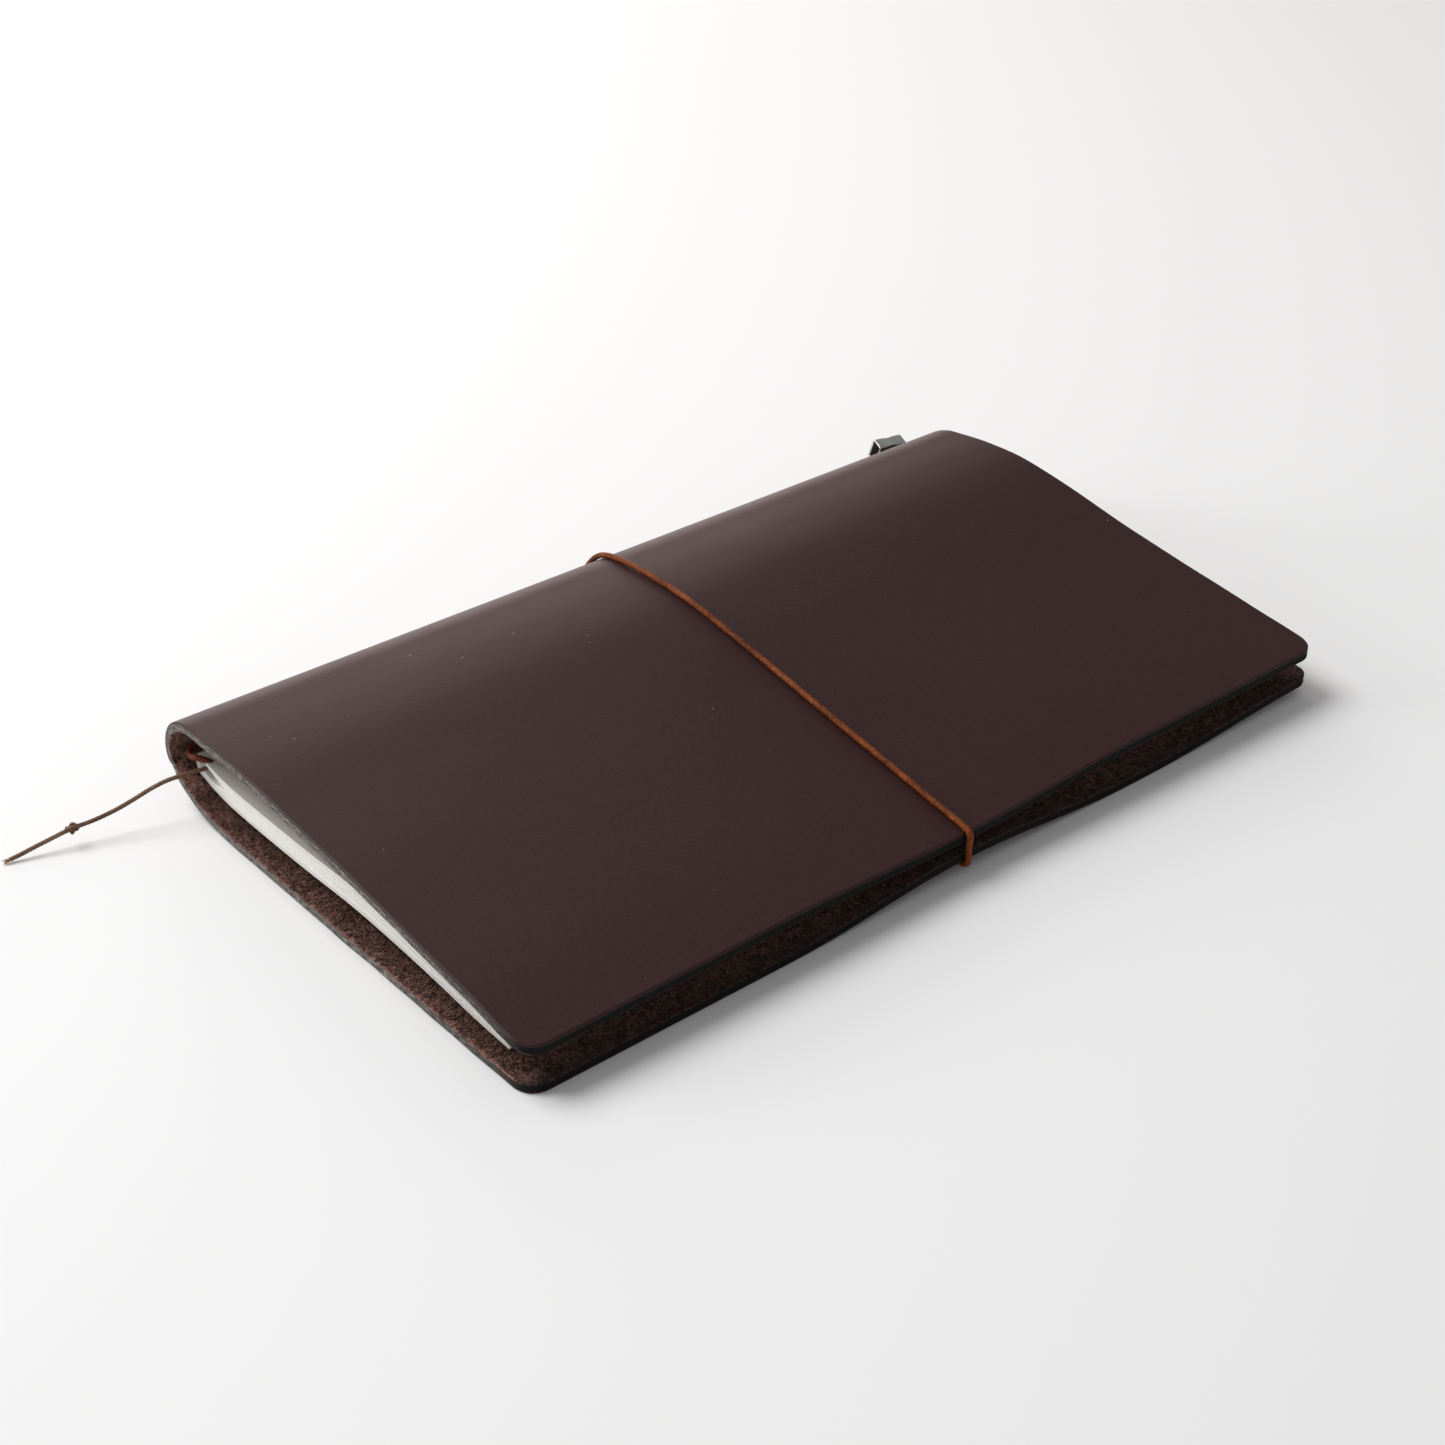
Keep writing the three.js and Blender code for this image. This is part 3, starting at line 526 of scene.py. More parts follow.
def build_hide():
    """Verts, faces, materials by face, which faces are the lower half's, and UVs of the whole hide."""
    us, vs = hide_grid_lines()
    seam_column = int(np.argmin(np.abs(us - SEAM_AT)))
    u, v = np.meshgrid(us, vs, indexing="ij")
    edge_u = np.minimum(u, SECTION_END - u)
    edge_v = COVER_END - np.abs(v)
    distance = np.minimum(edge_u, edge_v)
    a = np.clip((CORNER_R - edge_u) / CORNER_R, 0, 1)
    b = np.clip((CORNER_R - edge_v) / CORNER_R, 0, 1)
    corner = (a > 0) & (b > 0)
    new_u = np.where(corner, CORNER_R * (1 - a * np.sqrt(1 - b**2 / 2)), edge_u)
    new_v = np.where(corner, CORNER_R * (1 - b * np.sqrt(1 - a**2 / 2)), edge_v)
    u = np.where(u < SECTION_END / 2, new_u, SECTION_END - new_u)
    v = np.sign(v) * (COVER_END - new_v)
    # The cut line wanders a little, and the near end has a small nick at the spine.
    near = ramp(-v, COVER_END - 6, COVER_END)
    far = ramp(v, COVER_END - 6, COVER_END)
    wander = np.array([noise.noise(Vector((k * 0.09, 3.1, 0.0))) for k in us])[:, None]
    nick = 0.75 * np.exp(-((u - SEAM_AT + 5.2) / 0.75) ** 2) * ramp(-v, COVER_END - 1.6, COVER_END)
    v = v + 0.22 * wander * (near - far) + nick

    # Cells inside a hole are left out, and the vertices round them move onto its circle.
    cell_u = (u[:-1, :-1] + u[1:, 1:]) / 2
    cell_v = (v[:-1, :-1] + v[1:, 1:]) / 2
    punched = np.zeros(cell_u.shape, bool)
    for at, y, radius in HOLES:
        inside = np.hypot(cell_u - at, cell_v - y) < radius
        punched |= inside
        touched = np.zeros(u.shape, int)
        for di in (0, 1):
            for dj in (0, 1):
                touched[di:di + inside.shape[0], dj:dj + inside.shape[1]] += inside
        rim = (touched > 0) & (touched < 4)
        reach = np.hypot(u - at, v - y)
        scale = np.where(rim, radius / np.maximum(reach, 0.01), 1.0)
        u, v = at + (u - at) * scale, y + (v - y) * scale

    columns, rows = u.shape
    outer = hide_point(u, v, sunk(distance, OUTER_ROUND))
    inner = hide_point(u, v, LEATHER - sunk(distance, INNER_ROUND))
    suede = soft_noise(inner.reshape(-1, 3), 1.9, 5.0).reshape(columns, rows)
    fibre = soft_noise(inner.reshape(-1, 3), 0.7, 9.0).reshape(columns, rows)
    lump = (0.10 * suede + 0.09 * fibre) * np.clip(distance / 0.5, 0.35, 1.0)
    inner = hide_point(u, v, LEATHER - sunk(distance, INNER_ROUND) - SUEDE_SUNK + lump)
    verts = [outer.reshape(-1, 3), inner.reshape(-1, 3)]

    def vid(side, i, j):
        return side * columns * rows + i * rows + j

    faces, kinds, halves = [], [], []
    for i in range(columns - 1):
        for j in range(rows - 1):
            quad = (i, j), (i + 1, j), (i + 1, j + 1), (i, j + 1)
            if punched[i, j]:
                sides = ((i, j - 1), (i + 1, j), (i, j + 1), (i - 1, j))
                for k, beside in enumerate(sides):
                    if not punched[beside]:
                        a, b = quad[k], quad[(k + 1) % 4]
                        faces.append([vid(0, *a), vid(0, *b), vid(1, *b), vid(1, *a)])
                        kinds.append(CUT)
                        halves.append(i < seam_column)
                continue
            faces.append([vid(0, *c) for c in quad])
            faces.append([vid(1, *c) for c in reversed(quad)])
            kinds += [SKIN, FLESH]
            halves += [i < seam_column] * 2

    # The cut edge: a wall of several rows all round, gently uneven.
    loop = [(i, 0) for i in range(columns)] + [(columns - 1, j) for j in range(1, rows)]
    loop += [(i, rows - 1) for i in range(columns - 2, -1, -1)] + [(0, j) for j in range(rows - 2, 0, -1)]
    depths = np.linspace(OUTER_ROUND, LEATHER - INNER_ROUND - SUEDE_SUNK, 7)[1:-1]
    base = 2 * columns * rows
    for depth in depths:
        ring = np.array([hide_point(u[c], v[c], depth) for c in loop])
        wobble = soft_noise(ring, 0.8, 21.0) * 0.10 + soft_noise(ring, 2.6, 4.0) * 0.08
        outward = np.array([[0, np.sign(v[c]) if 0 < c[0] < columns - 1 else 0, 0] for c in loop], float)
        fore = np.array([1.0 if c[0] in (0, columns - 1) else 0.0 for c in loop])
        outward[:, 0] += fore
        verts.append(ring + outward * (wobble - 0.04)[:, None])
    count = len(loop)
    for level in range(len(depths) + 1):
        for k in range(count):
            n = (k + 1) % count
            low = [vid(0, *loop[k]), vid(0, *loop[n])]
            high = [vid(1, *loop[k]), vid(1, *loop[n])]
            if level > 0:
                low = [base + (level - 1) * count + k, base + (level - 1) * count + n]
            if level < len(depths):
                high = [base + level * count + k, base + level * count + n]
            faces.append([low[0], high[0], high[1], low[1]])
            kinds.append(CUT)
            halves.append(min(loop[k][0], loop[n][0]) < seam_column)
    ring_uv = np.array([(u[c], v[c]) for c in loop])
    flat_uv = np.column_stack([u.ravel(), v.ravel()])
    place = np.vstack([flat_uv, flat_uv] + [ring_uv] * len(depths))
    uvs = np.column_stack([np.minimum(place[:, 0], SECTION_END - place[:, 0]), place[:, 1]]) * UV_SCALE
    return np.vstack(verts), faces, np.array(kinds), np.array(halves), uvs


def whole_normals(verts, faces):
    """Outward normals at the corners of the uncut hide, so that its two halves shade as one."""
    probe = mesh_object("hide_probe", verts, faces)
    normals = np.empty(len(probe.data.vertices) * 3, np.float32)
    probe.data.vertex_normals.foreach_get("vector", normals)
    bpy.data.objects.remove(probe)
    return normals.reshape(-1, 3)


hide_verts, hide_faces, hide_kinds, hide_halves, hide_uvs = build_hide()
quads = np.array(hide_faces)
first, second, third = (hide_verts[quads[:, k]] for k in range(3))
if np.einsum("ij,ij->i", first, np.cross(second, third)).sum() < 0:
    quads = quads[:, ::-1]
hide_normals = whole_normals(hide_verts, quads)


def hide_half(name, wanted):
    chosen = quads[hide_halves == wanted]
    used, compact = np.unique(chosen, return_inverse=True)
    piece = mesh_object(name, hide_verts[used], compact.reshape(-1, 4),
                        (LEATHER_SKIN, SUEDE, CUT_EDGE), hide_kinds[hide_halves == wanted], hide_uvs[used])
    piece.data.normals_split_custom_set_from_vertices(hide_normals[used].tolist())
    return piece


lower_hide = hide_half("leather_back_and_lower_spine", True)
upper_hide = hide_half("leather_front_and_upper_spine", False)
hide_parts("cover_back_panel", "cover_spine")
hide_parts("cover_front_panel")
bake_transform(lower_hide)
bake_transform(upper_hide)


def suede_nap(count):
    """Loose fibre tufts on the flesh side of the back panel, along its uncovered margins."""
    verts, faces, uvs = [], [], []
    for _ in range(count):
        if random.random() < 0.62:
            u = random.uniform(0.5, SEAM_AT - 14)
            y = -COVER_END + 0.45 + 8.5 * random.random() ** 1.15
        else:
            u, y = random.uniform(0.5, 14.0), random.uniform(0.5 - COVER_END, COVER_END - 0.5)
        if u < CORNER_R and COVER_END - abs(y) < CORNER_R:
            continue
        depths = np.array([LEATHER - 0.02, LEATHER + 1.0])
        root, above = hide_point(np.array([u, u]), np.array([y, y]), depths)
        normal = above - root
        turn = random.uniform(0, 2 * math.pi)
        lie = np.array([math.cos(turn), math.sin(turn), 0.0])
        side = np.cross(normal, lie)
        long, wide = random.uniform(0.3, 0.8), random.uniform(0.07, 0.17)
        rise = random.uniform(0.08, 0.36)
        middle = root + lie * long * 0.5 + normal * rise
        tip = root + lie * long + normal * rise * random.uniform(0.2, 1.1)
        first = len(verts)
        uvs += [(u * UV_SCALE, y * UV_SCALE)] * 6
        verts += [root - side * wide, root + side * wide,
                  middle - side * wide * 0.8, middle + side * wide * 0.8,
                  tip, root + lie * long * 0.4 - normal * 0.05]
        faces += [(first, first + 1, first + 3, first + 2), (first + 2, first + 3, first + 4),
                  (first, first + 2, first + 5), (first + 1, first + 5, first + 3)]
    nap = mesh_object("suede_nap", verts, faces, (SUEDE,), uvs=uvs)
    nap.data.shade_flat()
    return nap


nap = suede_nap(16000)
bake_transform(nap)


# ---- cords and elastics ----
BRAID_STEP, TWIST_STEP = 0.24, 0.2
GAP = 0.3
OUTSIDE = GAP + ELASTIC_D / 2
CLIP_Y = 99.8
CLIP_LONG = 8.0


def braid(angle, distance, carriers=6, radius=1.0, height=0.13):
    """Relief of a braided cover: two sets of strands that pass over and under each other."""
    turn = carriers * angle / (2 * math.pi)
    run = carriers * distance / (2 * math.pi * radius) * 0.8
    a, b = turn + run, turn - run
    strand_a = 1 - (2 * (a % 1.0) - 1) ** 2
    strand_b = 1 - (2 * (b % 1.0) - 1) ** 2
    over = (np.floor(a) + np.floor(b)) % 2 == 0
    top = np.where(over, np.maximum(strand_a, strand_b - 0.45), np.maximum(strand_b, strand_a - 0.45))
    return 1 - height + height * top


def twist(angle, distance, pitch=2.4, height=0.2):
    """Relief of a cord laid up from three strands."""
    return 1 - height + height * np.abs(np.cos(1.5 * (angle - 2 * math.pi * distance / pitch)))


def braided(name, route, material=ELASTIC):
    path = catmull(route, BRAID_STEP)
    return tube(name, path, ELASTIC_D / 2, 24, (material,), relief=braid)


def twisted(name, path):
    return tube(name, path, BOOKMARK_D / 2, 15, (BOOKMARK,), relief=twist)


def knotted(name, centre, size, thickness, material, relief=None):
    """A tight overhand knot: a thick trefoil, scaled to size (x, y, z)."""
    t = np.linspace(0, 2 * math.pi, 97)
    loop = np.column_stack([np.sin(3 * t), np.sin(t) + 2 * np.sin(2 * t), np.cos(t) - 2 * np.cos(2 * t)])
    half = (np.array(size) - thickness) / 2
    loop = loop / np.abs(loop).max(axis=0) * half
    path = loop + np.array(centre)
    return tube(name, path, thickness / 2, 14, (material,), relief=relief)


def in_hole(hole, y, depth, rise=0.0):
    """A point in a hole of the spine: depth 0 is the leather's outer face."""
    x, z, nx, nz = hole
    return (x - nx * depth, y, z - nz * depth + rise)


# The bookmark's free end: out of the refill, through its knot and down to its frayed tip, on the table.
FREE_ROUTE = [
    (-0.0540, -0.1051, 0.0098), (-0.0545, -0.1076, 0.0097), (-0.0552, -0.1110, 0.0096),
    (-0.0559, -0.1142, 0.0093), (-0.0566, -0.1176, 0.0084), (-0.0573, -0.1210, 0.0071),
    (-0.0581, -0.1244, 0.0058), (-0.0588, -0.1278, 0.0049), (-0.0595, -0.1310, 0.0043),
    (-0.0599, -0.1327, 0.0041), (-0.0602, -0.1344, 0.0039), (-0.0606, -0.1362, 0.0035),
    (-0.0611, -0.1390, 0.0028), (-0.0617, -0.1422, 0.0020), (-0.0622, -0.1454, 0.0012),
    (-0.0626, -0.1476, 0.0007),
]
free_path = catmull([tuple(c / MM for c in point) for point in FREE_ROUTE], TWIST_STEP)
bookmark = twisted("bookmark_free_end", free_path)
bookmark_knot = knotted("bookmark_overhand_knot", (-60.2, -134.4, 3.9), (2.3, 2.8, 2.3), 0.95,
                        BOOKMARK, twist)
strands = []
for k in range(11):
    spread = Vector((random.uniform(-0.5, 0.5), random.uniform(-0.3, 0.3), random.uniform(-0.25, 0.3)))
    tip = Vector((-62.85, -148.9, 0.5)) + spread
    tip.z = max(tip.z, 0.12)
    root = Vector((-62.5, -147.2, 0.75)) + spread * 0.35
    middle = (root + tip) / 2 + spread * 0.35
    strands.append(tube(f"fray_{k}", catmull([root, middle, tip], TWIST_STEP), 0.15, 5, (FRAY,),
                        taper=lambda share: 1.0 - 0.6 * share))
with bpy.context.temp_override(active_object=strands[0], selected_editable_objects=strands):
    bpy.ops.object.join()
fray = strands[0]
fray.name = "bookmark_frayed_tip"
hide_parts("bookmark_cord", "bookmark_tail")
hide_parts("bookmark_knot")
for piece in (bookmark, bookmark_knot, fray):
    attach(piece, "back_cover")

BOOKMARK_DROP = -1.15           # the bookmark goes through the last hole under the band's end
inner_route = [
    (-65.7, CLIP_Y + CLIP_LONG / 2 + 0.6, 13.1),
    (-65.1, FAR_END_HOLE - 0.9, 12.4),
    in_hole(BAND_HOLE, FAR_END_HOLE, 0.0, BOOKMARK_DROP),
    in_hole(BAND_HOLE, FAR_END_HOLE, LEATHER + 0.8, BOOKMARK_DROP),
    (-58.2, FAR_END_HOLE + 1.3, 10.2),
    (-56.2, FAR_END_HOLE + 1.8, 9.4),
    (-54.7, FAR_END_HOLE + 1.3, 9.3),
    (-54.0, 106.1, 9.6),
    *[(-53.9, y, 9.92) for y in np.linspace(103.0, -104.6, 9)],
]
bookmark_run = twisted("bookmark_inner_run", catmull(inner_route, TWIST_STEP))
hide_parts("bookmark_inner")
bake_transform(bookmark_run)

BAND_RISE = 0.55
band_route = [
    in_hole(BAND_HOLE, NEAR_END_HOLE, LEATHER + GAP),
    in_hole(BAND_HOLE, NEAR_END_HOLE - 0.4, LEATHER + 1.5),
    (-59.4, -101.6, 13.7),
    (-59.9, -104.6, 12.9),
    (-59.3, -106.5, 12.0),
    (-57.4, -107.4, 11.9),
    (-55.4, -107.2, 12.4),
    (-53.8, -105.9, 11.9),
    (-52.6, -103.6, 10.4),
    *[(-52.2, y, 9.75) for y in np.linspace(-100.0, 105.2, 9)],
    (-52.7, 107.0, 10.7),
    (-54.2, 107.7, 11.6),
    (-57.0, 107.9, 12.3),
    (-59.2, 107.0, 13.1),
    in_hole(BAND_HOLE, FAR_END_HOLE, LEATHER + GAP, BAND_RISE),
]
# The band gets the darker copy of the elastic, with its painted shade.
band = braided("refill_band_elastic", band_route, material=ELASTIC_SHADED)
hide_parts("refill_band")
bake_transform(band)

RETURN_X, RETURN_Z = -57.7, 9.0
return_route = [
    in_hole(BAND_HOLE, NEAR_END_HOLE, LEATHER - 0.2),
    in_hole(BAND_HOLE, NEAR_END_HOLE, 0.2),
    in_hole(BAND_HOLE, NEAR_END_HOLE + 1.6, -OUTSIDE - 0.2),
    in_hole(BAND_HOLE, (NEAR_END_HOLE + NEAR_HOLE) / 2, -OUTSIDE - 0.3),
    in_hole(BAND_HOLE, NEAR_HOLE - 1.6, -OUTSIDE - 0.2),
    in_hole(BAND_HOLE, NEAR_HOLE, 0.2),
    in_hole(BAND_HOLE, NEAR_HOLE, LEATHER + 0.6),
    (-58.4, NEAR_HOLE + 5, 11.6),
    (RETURN_X, NEAR_HOLE + 14, RETURN_Z + 0.6),
    (RETURN_X, NEAR_HOLE + 26, RETURN_Z),
    (RETURN_X, 0.0, RETURN_Z),
    (RETURN_X, FAR_HOLE - 26, RETURN_Z),
    (RETURN_X, FAR_HOLE - 14, RETURN_Z + 0.6),
    (-58.4, FAR_HOLE - 5, 11.6),
    in_hole(BAND_HOLE, FAR_HOLE, LEATHER + 0.6),
    in_hole(BAND_HOLE, FAR_HOLE, 0.2),
    (-65.1, FAR_HOLE + 0.8, 13.9),
    (-65.1, FAR_HOLE + 3.5, 14.2),
    (-65.3, FAR_HOLE + 7.5, 14.4),
    (-65.7, CLIP_Y - CLIP_LONG / 2 + 1.6, 15.5),
]
band_return = braided("refill_band_outer_run", return_route)
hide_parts("refill_band_return")
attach(band_return, "spine")
band_end = braided("refill_band_crimped_end", [
    in_hole(BAND_HOLE, FAR_END_HOLE, LEATHER - 0.2, BAND_RISE),
    in_hole(BAND_HOLE, FAR_END_HOLE, 0.4, BAND_RISE),
    (-65.2, FAR_END_HOLE - 0.8, 14.6),
    (-65.3, CLIP_Y + CLIP_LONG / 2 - 1.2, 15.8),
])
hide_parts("refill_band_end")
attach(band_end, "spine")


# ---- closing elastic and the knot that holds it ----
SPINE_SLANT, FORE_SLANT = 1.8, -0.9     # the elastic crosses the front at a slight slant
CLOSE = ELASTIC_D / 2 + 0.08            # stretched tight, it lies on the leather
ON_TABLE = ELASTIC_D / 2 + 0.02


def over_front(x):
    y = SPINE_SLANT + (FORE_SLANT - SPINE_SLANT) * (x - UPPER_BEND_X) / (FORE_X - UPPER_BEND_X)
    return (x, y, float(front_height(x, y)) + CLOSE)


def under_back(x):
    snug = float(back_rise(x, 0.0)) - CLOSE
    z = ON_TABLE + (snug - ON_TABLE) * float(ramp(x, -30, 20))
    return (x, FORE_SLANT * float(ramp(x, -40, FORE_X)), z)


def over_bend(degrees, y):
    x, z, nx, nz = bend_station(True, degrees)
    lift = float(front_lift(x, 0.0)) if x > UPPER_HINGE_X else 0.0
    return (x + nx * CLOSE, y, z + nz * CLOSE + lift)


def under_bend(degrees, y):
    x, z, nx, nz = bend_station(False, degrees)
    return (x + nx * OUTSIDE, y, max(z + nz * OUTSIDE + float(back_rise(x, 0.0)), ON_TABLE))


STRAND_SHIFT = 1.15
fore_top = float(front_height(FORE_X, 0.0))
fore_bottom = float(back_rise(FORE_X, 0.0))
elastic_route = [
    in_hole(CENTRE_HOLE, STRAND_SHIFT, LEATHER - 0.2),
    in_hole(CENTRE_HOLE, STRAND_SHIFT, -0.6),
    over_bend(15, STRAND_SHIFT),
    over_bend(35, 1.7),
    over_bend(60, SPINE_SLANT),
    *[over_front(x) for x in (-50, -38, -25, -10, 8, 26, 44, 57)],
    (FORE_X - 0.3, FORE_SLANT, fore_top + CLOSE),
    (FORE_X + CLOSE + 0.15, FORE_SLANT, fore_top - 0.1),
    (FORE_X + CLOSE, FORE_SLANT, (fore_top + fore_bottom) / 2),
    (FORE_X + CLOSE, FORE_SLANT, fore_bottom + 0.6),
    (FORE_X + 0.15, FORE_SLANT, fore_bottom - 0.58),
    *[under_back(x) for x in (60, 42, 22, 0, -20, -36)],
    under_bend(68, -0.2),
    under_bend(52, -0.5),
    under_bend(34, -0.8),
    under_bend(14, -STRAND_SHIFT),
    in_hole(CENTRE_HOLE, -STRAND_SHIFT, -0.6),
    in_hole(CENTRE_HOLE, -STRAND_SHIFT, LEATHER - 0.2),
]
closing = braided("closing_elastic_loop", elastic_route)
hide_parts("closing_elastic")
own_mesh(closing)
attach(closing, "back_cover")
knot_x, _, knot_z = in_hole(CENTRE_HOLE, 0.0, LEATHER + GAP + 1.5)
closing_knot = knotted("closing_elastic_knot", (knot_x, 0.0, knot_z), (2.9, 4.7, 4.7), 1.7,
                       ELASTIC, braid)
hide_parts("closing_knot")
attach(closing_knot, "spine")


# ---- metal clip: sheet tin rolled into a flat tube, pinched in its middle ----
CLIP_ANGLE = 17.0               # where it lies on the spine's upper bend
CLIP_STANDS_OFF = 2.2
CLIP_LEAN = 9.0                 # its mouth stands off the spine, pushed out by the elastic
CLIP_PINCH = 0.16


def tin_profile():
    """Closed outline (across, proud) of the rolled sheet, with its seam lapped on the spine side."""
    half_a, half_p, wall, corner = 2.85, 1.9, 0.5, 0.7
    a, p = half_a - corner, half_p - corner
    outer, inner = [], []
    for centre, start in (((a, -p), -90), ((a, p), 0), ((-a, p), 90), ((-a, -p), 180)):
        for turn in np.radians(np.linspace(start, start + 90, 7)):
            c, s = math.cos(turn), math.sin(turn)
            outer.append((centre[0] + corner * c, centre[1] + corner * s))
            inner.append((centre[0] + (corner - wall) * c, centre[1] + (corner - wall) * s))
    outer = [(0.25, -half_p)] + outer + [(-0.2, -half_p)]
    inner = [(0.25, -half_p + wall)] + inner + [(-0.2, -half_p + wall)]
    return np.array(outer), np.array(inner)


def build_clip():
    outer, inner = tin_profile()
    x, z, nx, nz = bend_station(True, CLIP_ANGLE)
    out = np.array([nx, 0.0, nz])
    across = np.array([nz, 0.0, -nx])
    centre = np.array([x, CLIP_Y, z]) + out * (GAP + CLIP_STANDS_OFF)
    lean = math.radians(CLIP_LEAN)
    along = np.array([0.0, math.cos(lean), 0.0]) - out * math.sin(lean)
    lifted = np.array([0.0, math.sin(lean), 0.0]) + out * math.cos(lean)
    end = CLIP_LONG / 2
    stations = np.concatenate([[-end, 0.12 - end], np.linspace(0.5 - end, end - 0.5, 17), [end - 0.12, end]])
    verts, faces = [], []
    count = len(outer)
    for y in stations:
        pinch = 1 - CLIP_PINCH * math.exp(-(y / 1.1) ** 2)
        ease = 0.06 if abs(y) > end - 0.1 else 0.0
        for loop, sign in ((outer, -1), (inner, 1)):
            size = np.array([1 + sign * ease * 0.3, pinch + sign * ease * 0.3])
            for point in loop * size:
                verts.append(centre + across * point[0] + lifted * point[1] + along * y)
    for i in range(len(stations) - 1):
        a, b = i * 2 * count, (i + 1) * 2 * count
        for k in range(count - 1):
            faces.append([a + k, a + k + 1, b + k + 1, b + k])
            faces.append([a + count + k, b + count + k, b + count + k + 1, a + count + k + 1])
        faces.append([a, b, b + count, a + count])
        seam = count - 1
        faces.append([a + seam, a + count + seam, b + count + seam, b + seam])
    last = (len(stations) - 1) * 2 * count
    for k in range(count - 1):
        faces.append([k, k + count, k + count + 1, k + 1])
        faces.append([last + k, last + k + 1, last + k + count + 1, last + k + count])
    return mesh_object("folded_tin_clip", verts, faces, (TIN,))


clip = build_clip()
clip_normals = clip.modifiers.new("smooth_edges", "WEIGHTED_NORMAL")
clip_normals.keep_sharp = True
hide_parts("metal_clip")
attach(clip, "spine")

# ---- refill: folded sheets, a card cover and the binding thread ----
REFILL_END = 105.0
FOLD_X = -55.6
FOLD_Z = 10.0
REFILL_FORE_X = 54.2
FOLD_THICKNESS = 5.2
REFILL_CLEARANCE = 0.65
COVER_SHARE = 0.06
LEAVES = 16                     # in each half
SHEET_FILL = 0.95               # a sheet's thickness as a share of its room
NEAR_SPREAD, NEAR_REACH = 2.2, 1.2
SOFT_CORNER = 0.4
GUTTER_WIDTH = 5.0
GUTTER_ROOM = 0.51
GUTTER_TAPER = 5.0
FOLD_JOIN = 1.6                 # the folds' own piece reaches this far into the leaves
REFILL_STATIONS = [-55.6, -50, -43, -18, 2, 18, 32, 44, 54.2]
REFILL_UNDER_Z = [7.4, 6.1, 5.1, 5.1, 5.8, 5.4, 4.5, 3.4, 2.9]


def larger(a, b):
    """The larger of two heights, with a soft change from one to the other."""
    return (a + b + np.hypot(a - b, SOFT_CORNER)) / 2


def smaller(a, b):
    return (a + b - np.hypot(a - b, SOFT_CORNER)) / 2


def refill_height(x, y, share):
    """Height in the refill, where share runs from 0 at its underside to 1 at its top."""
    x, y = np.asarray(x, float), np.asarray(y, float)
    resting = height_along(REFILL_STATIONS, REFILL_UNDER_Z, x)
    under = larger(resting, back_rise(x, y) + LEATHER + REFILL_CLEARANCE)
    over = under + FOLD_THICKNESS - 0.5 * ramp(x, -20, REFILL_FORE_X) - pull(y) * ramp(x, -30, 40)
    room = front_height(x, y) - LEATHER - REFILL_CLEARANCE
    over = np.where(x < UPPER_BEND_X, over, smaller(over, room))
    folded = FOLD_Z + (share - 0.5) * FOLD_THICKNESS
    return folded + (under + (over - under) * share - folded) * ramp(x, FOLD_X, FOLD_X + 6)


def spread_out(grid):
    """At the near end the band pushes the fold a little towards the spine and out of the cover."""
    x, y = grid[..., 0], grid[..., 1]
    fold = ramp(-y, 88, REFILL_END) * (1 - ramp(x, FOLD_X + 1, FOLD_X + 14))
    moved = grid.copy()
    moved[..., 0] = x - NEAR_SPREAD * fold
    moved[..., 1] = y - NEAR_REACH * ramp(-y, 60, REFILL_END)
    return moved


def crowded(x, share):
    """The share a sheet has near the fold, where the gutter takes part of the room."""
    opened = ramp(x, FOLD_X + GUTTER_WIDTH, FOLD_X + GUTTER_WIDTH + GUTTER_TAPER)
    left = 1 - GUTTER_ROOM * (1 - opened)
    return np.where(share < 0.5, share * left, 1 - (1 - share) * left)


def sheet_shares(k):
    """Lower and upper share of a sheet's rear half: 0 is the card cover, LEAVES the innermost."""
    if k == 0:
        return 0.0, COVER_SHARE
    pitch = (0.5 - COVER_SHARE - 0.014) / LEAVES
    low = COVER_SHARE + 0.008 + (k - 1) * pitch
    return low, low + SHEET_FILL * pitch


def sheet_end(k):
    """The sheets aren't trimmed quite alike; the card cover is the longest."""
    return REFILL_END - 0.05 - 0.28 * random.random() if k else REFILL_END


def leaf(k, front, end, fore):
    """Grid of a leaf from the fold's piece to the trimmed edge: (2, columns, rows, 3)."""
    low, high = sheet_shares(k)
    if front:
        low, high = 1 - high, 1 - low
    bent_to = FOLD_X + 13
    xs = np.concatenate([np.linspace(FOLD_X + FOLD_JOIN, bent_to, 11), np.linspace(bent_to, fore, 26)[1:]])
    ys = np.concatenate([[-end], np.linspace(-end + 1.2, end - 1.2, 22), [end]])
    x, y = np.meshgrid(xs, ys, indexing="ij")
    wave = 0.035 * np.sin(0.05 * y + 1.7 * k) * ramp(x, -30, REFILL_FORE_X) * (k > 0)
    grids = []
    for share in (low, high):
        grids.append(np.stack([x, y, refill_height(x, y, crowded(x, share)) + wave], axis=-1))
    return spread_out(np.array(grids))


def fold_strip(k, end, rows):
    """Grid of a sheet's fold, from its rear leaf round to its front leaf."""
    low, high = sheet_shares(k)
    join = FOLD_X + FOLD_JOIN
    ys = np.linspace(-end, end, rows)
    nest = 0.15 + (0.0 if k == 0 else 0.17 + 0.05 * (k - 1))
    thick = 0.15 if k == 0 else 0.04
    turns = np.radians(np.linspace(-90, 90, 15))
    grids = []
    for share, x_fold in ((low, FOLD_X + nest), (high, FOLD_X + nest + thick)):
        bottom = refill_height(join, ys, crowded(join, share))
        top = refill_height(join, ys, crowded(join, 1 - share))
        x = join - (join - x_fold) * np.cos(turns)[:, None] + 0 * ys[None, :]
        z = (bottom + top)[None, :] / 2 + (top - bottom)[None, :] / 2 * np.sin(turns)[:, None]
        grids.append(np.stack([x, np.broadcast_to(ys, x.shape), z], axis=-1))
    return spread_out(np.array(grids))


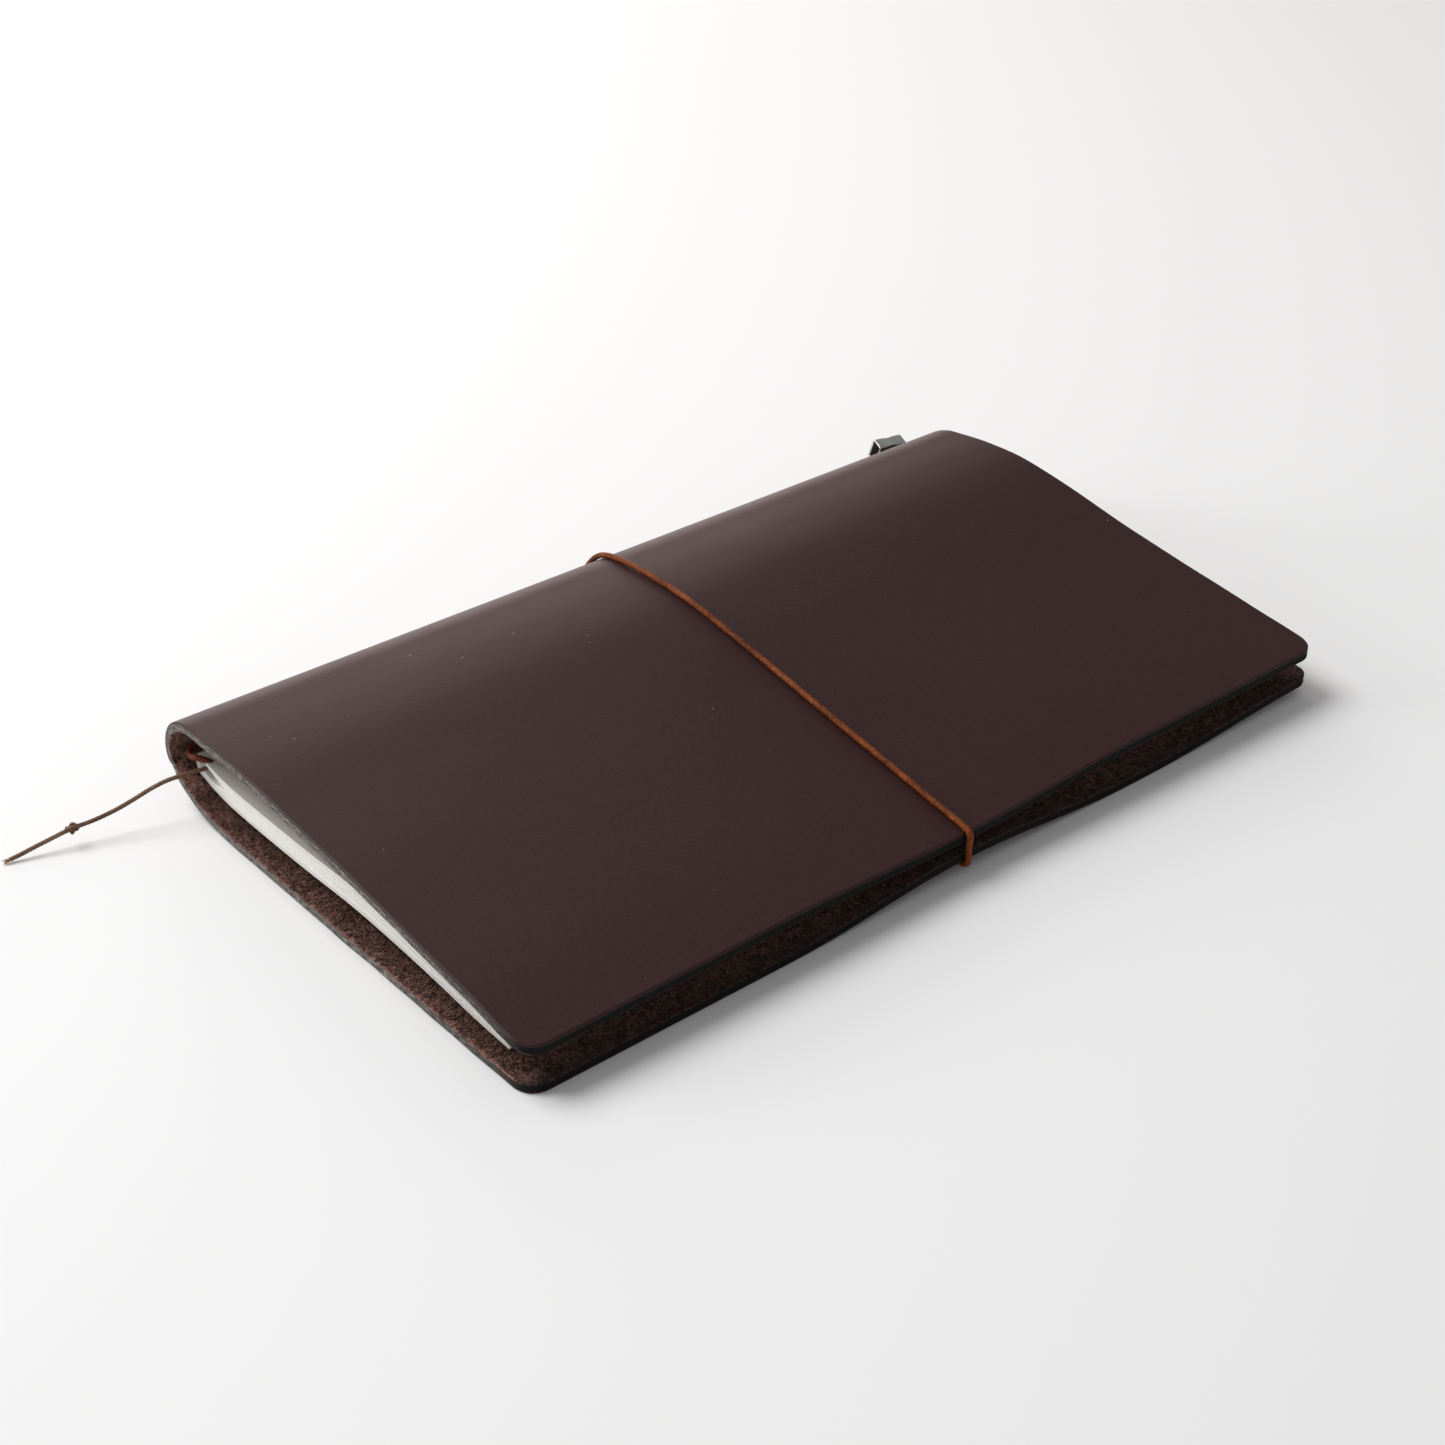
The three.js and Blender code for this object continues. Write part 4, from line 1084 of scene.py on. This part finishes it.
def closed_slab(grids, offset):
    """Verts and faces of a closed thin slab from its lower and upper grids."""
    _, columns, rows, _ = grids.shape

    def vid(side, i, j):
        return offset + side * columns * rows + i * rows + j

    faces = []
    for i in range(columns - 1):
        for j in range(rows - 1):
            faces.append([vid(0, i, j), vid(0, i, j + 1), vid(0, i + 1, j + 1), vid(0, i + 1, j)])
            faces.append([vid(1, i, j), vid(1, i + 1, j), vid(1, i + 1, j + 1), vid(1, i, j + 1)])
    for i in range(columns - 1):
        faces.append([vid(0, i, 0), vid(0, i + 1, 0), vid(1, i + 1, 0), vid(1, i, 0)])
        end = rows - 1
        faces.append([vid(0, i, end), vid(1, i, end), vid(1, i + 1, end), vid(0, i + 1, end)])
    for j in range(rows - 1):
        faces.append([vid(0, 0, j), vid(1, 0, j), vid(1, 0, j + 1), vid(0, 0, j + 1)])
        last = columns - 1
        faces.append([vid(0, last, j), vid(0, last, j + 1), vid(1, last, j + 1), vid(1, last, j)])
    return grids.reshape(-1, 3), faces


def stack(name, slabs, material):
    """One piece made of several closed slabs."""
    verts, faces, offset = [], [], 0
    for grids in slabs:
        more_verts, more_faces = closed_slab(grids, offset)
        verts.append(more_verts)
        faces += more_faces
        offset += len(more_verts)
    piece = mesh_object(name, np.vstack(verts), faces, (material,))
    piece.data.shade_flat()
    return piece


sheet_ends = [sheet_end(k) for k in range(LEAVES + 1)]
sheet_fores = [REFILL_FORE_X - (0.12 * random.random() if k else 0.0) for k in range(LEAVES + 1)]
for half, body in (("rear", "back_cover"), ("front", "refill_front")):
    slabs = [leaf(k, half == "front", sheet_ends[k], sheet_fores[k]) for k in range(LEAVES + 1)]
    card = stack(f"refill_card_{half}", slabs[:1], CARD)
    pages = stack(f"refill_pages_{half}", slabs[1:], PAPER)
    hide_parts(f"refill_cover_{half}")
    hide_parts(*(f"leaves_{half}_{k}" for k in (1, 2, 3, 4)))
    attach(card, body)
    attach(pages, body)

card_fold = stack("refill_card_fold", [fold_strip(0, sheet_ends[0], 24)], CARD)
page_folds = stack("refill_page_folds", [fold_strip(k, sheet_ends[k], 24) for k in range(1, LEAVES + 1)],
                   PAPER)
for piece in (card_fold, page_folds):
    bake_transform(piece)

# The thread runs in and out through the folds, in stitches.
stitch_path = []
for k in range(25):
    stitch_path.append((FOLD_X + (-0.12 if k % 2 else 0.0), -96.0 + 8.0 * k, FOLD_Z + 0.05 * math.sin(k)))
thread = tube("binding_stitches", catmull(stitch_path, 1.0), 0.25, 8, (THREAD,))
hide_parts("binding_thread")
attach(thread, "back_cover")

# ---- floor and light ----
bpy.ops.mesh.primitive_plane_add(size=6.0)
floor = bpy.context.object
floor.name = "floor"
floor_nodes = Nodes("floor_paint", 0.9)
floor_nodes.shader.inputs["Base Color"].default_value = (0.88, 0.88, 0.88, 1.0)
floor.data.materials.append(floor_nodes.material)

world = bpy.data.worlds.new("studio")
bpy.context.scene.world = world
world.use_nodes = True
world.node_tree.nodes["Background"].inputs["Color"].default_value = (1.0, 1.0, 1.0, 1.0)
world.node_tree.nodes["Background"].inputs["Strength"].default_value = 0.35


def area_light(name, location, target, size, power, colour=(1.0, 1.0, 1.0)):
    data = bpy.data.lights.new(name, "AREA")
    data.shape = "DISK"
    data.size = size
    data.energy = power
    data.color = colour
    light = bpy.data.objects.new(name, data)
    light.location = location
    light.rotation_euler = (Vector(target) - Vector(location)).to_track_quat("-Z", "Y").to_euler()
    bpy.context.collection.objects.link(light)
    return light


area_light("key", (-0.80, -0.46, 1.22), (0.0, 0.0, 0.0), 1.0, 17.0)
area_light("near_end", (-1.05, -1.10, 0.36), (0.0, 0.0, 0.0), 0.8, 9.5)
area_light("behind", (-1.45, 0.55, 0.18), (0.0, 0.0, 0.02), 1.2, 11.5, (1.0, 0.86, 0.82))

bpy.context.scene.view_settings.view_transform = "Standard"
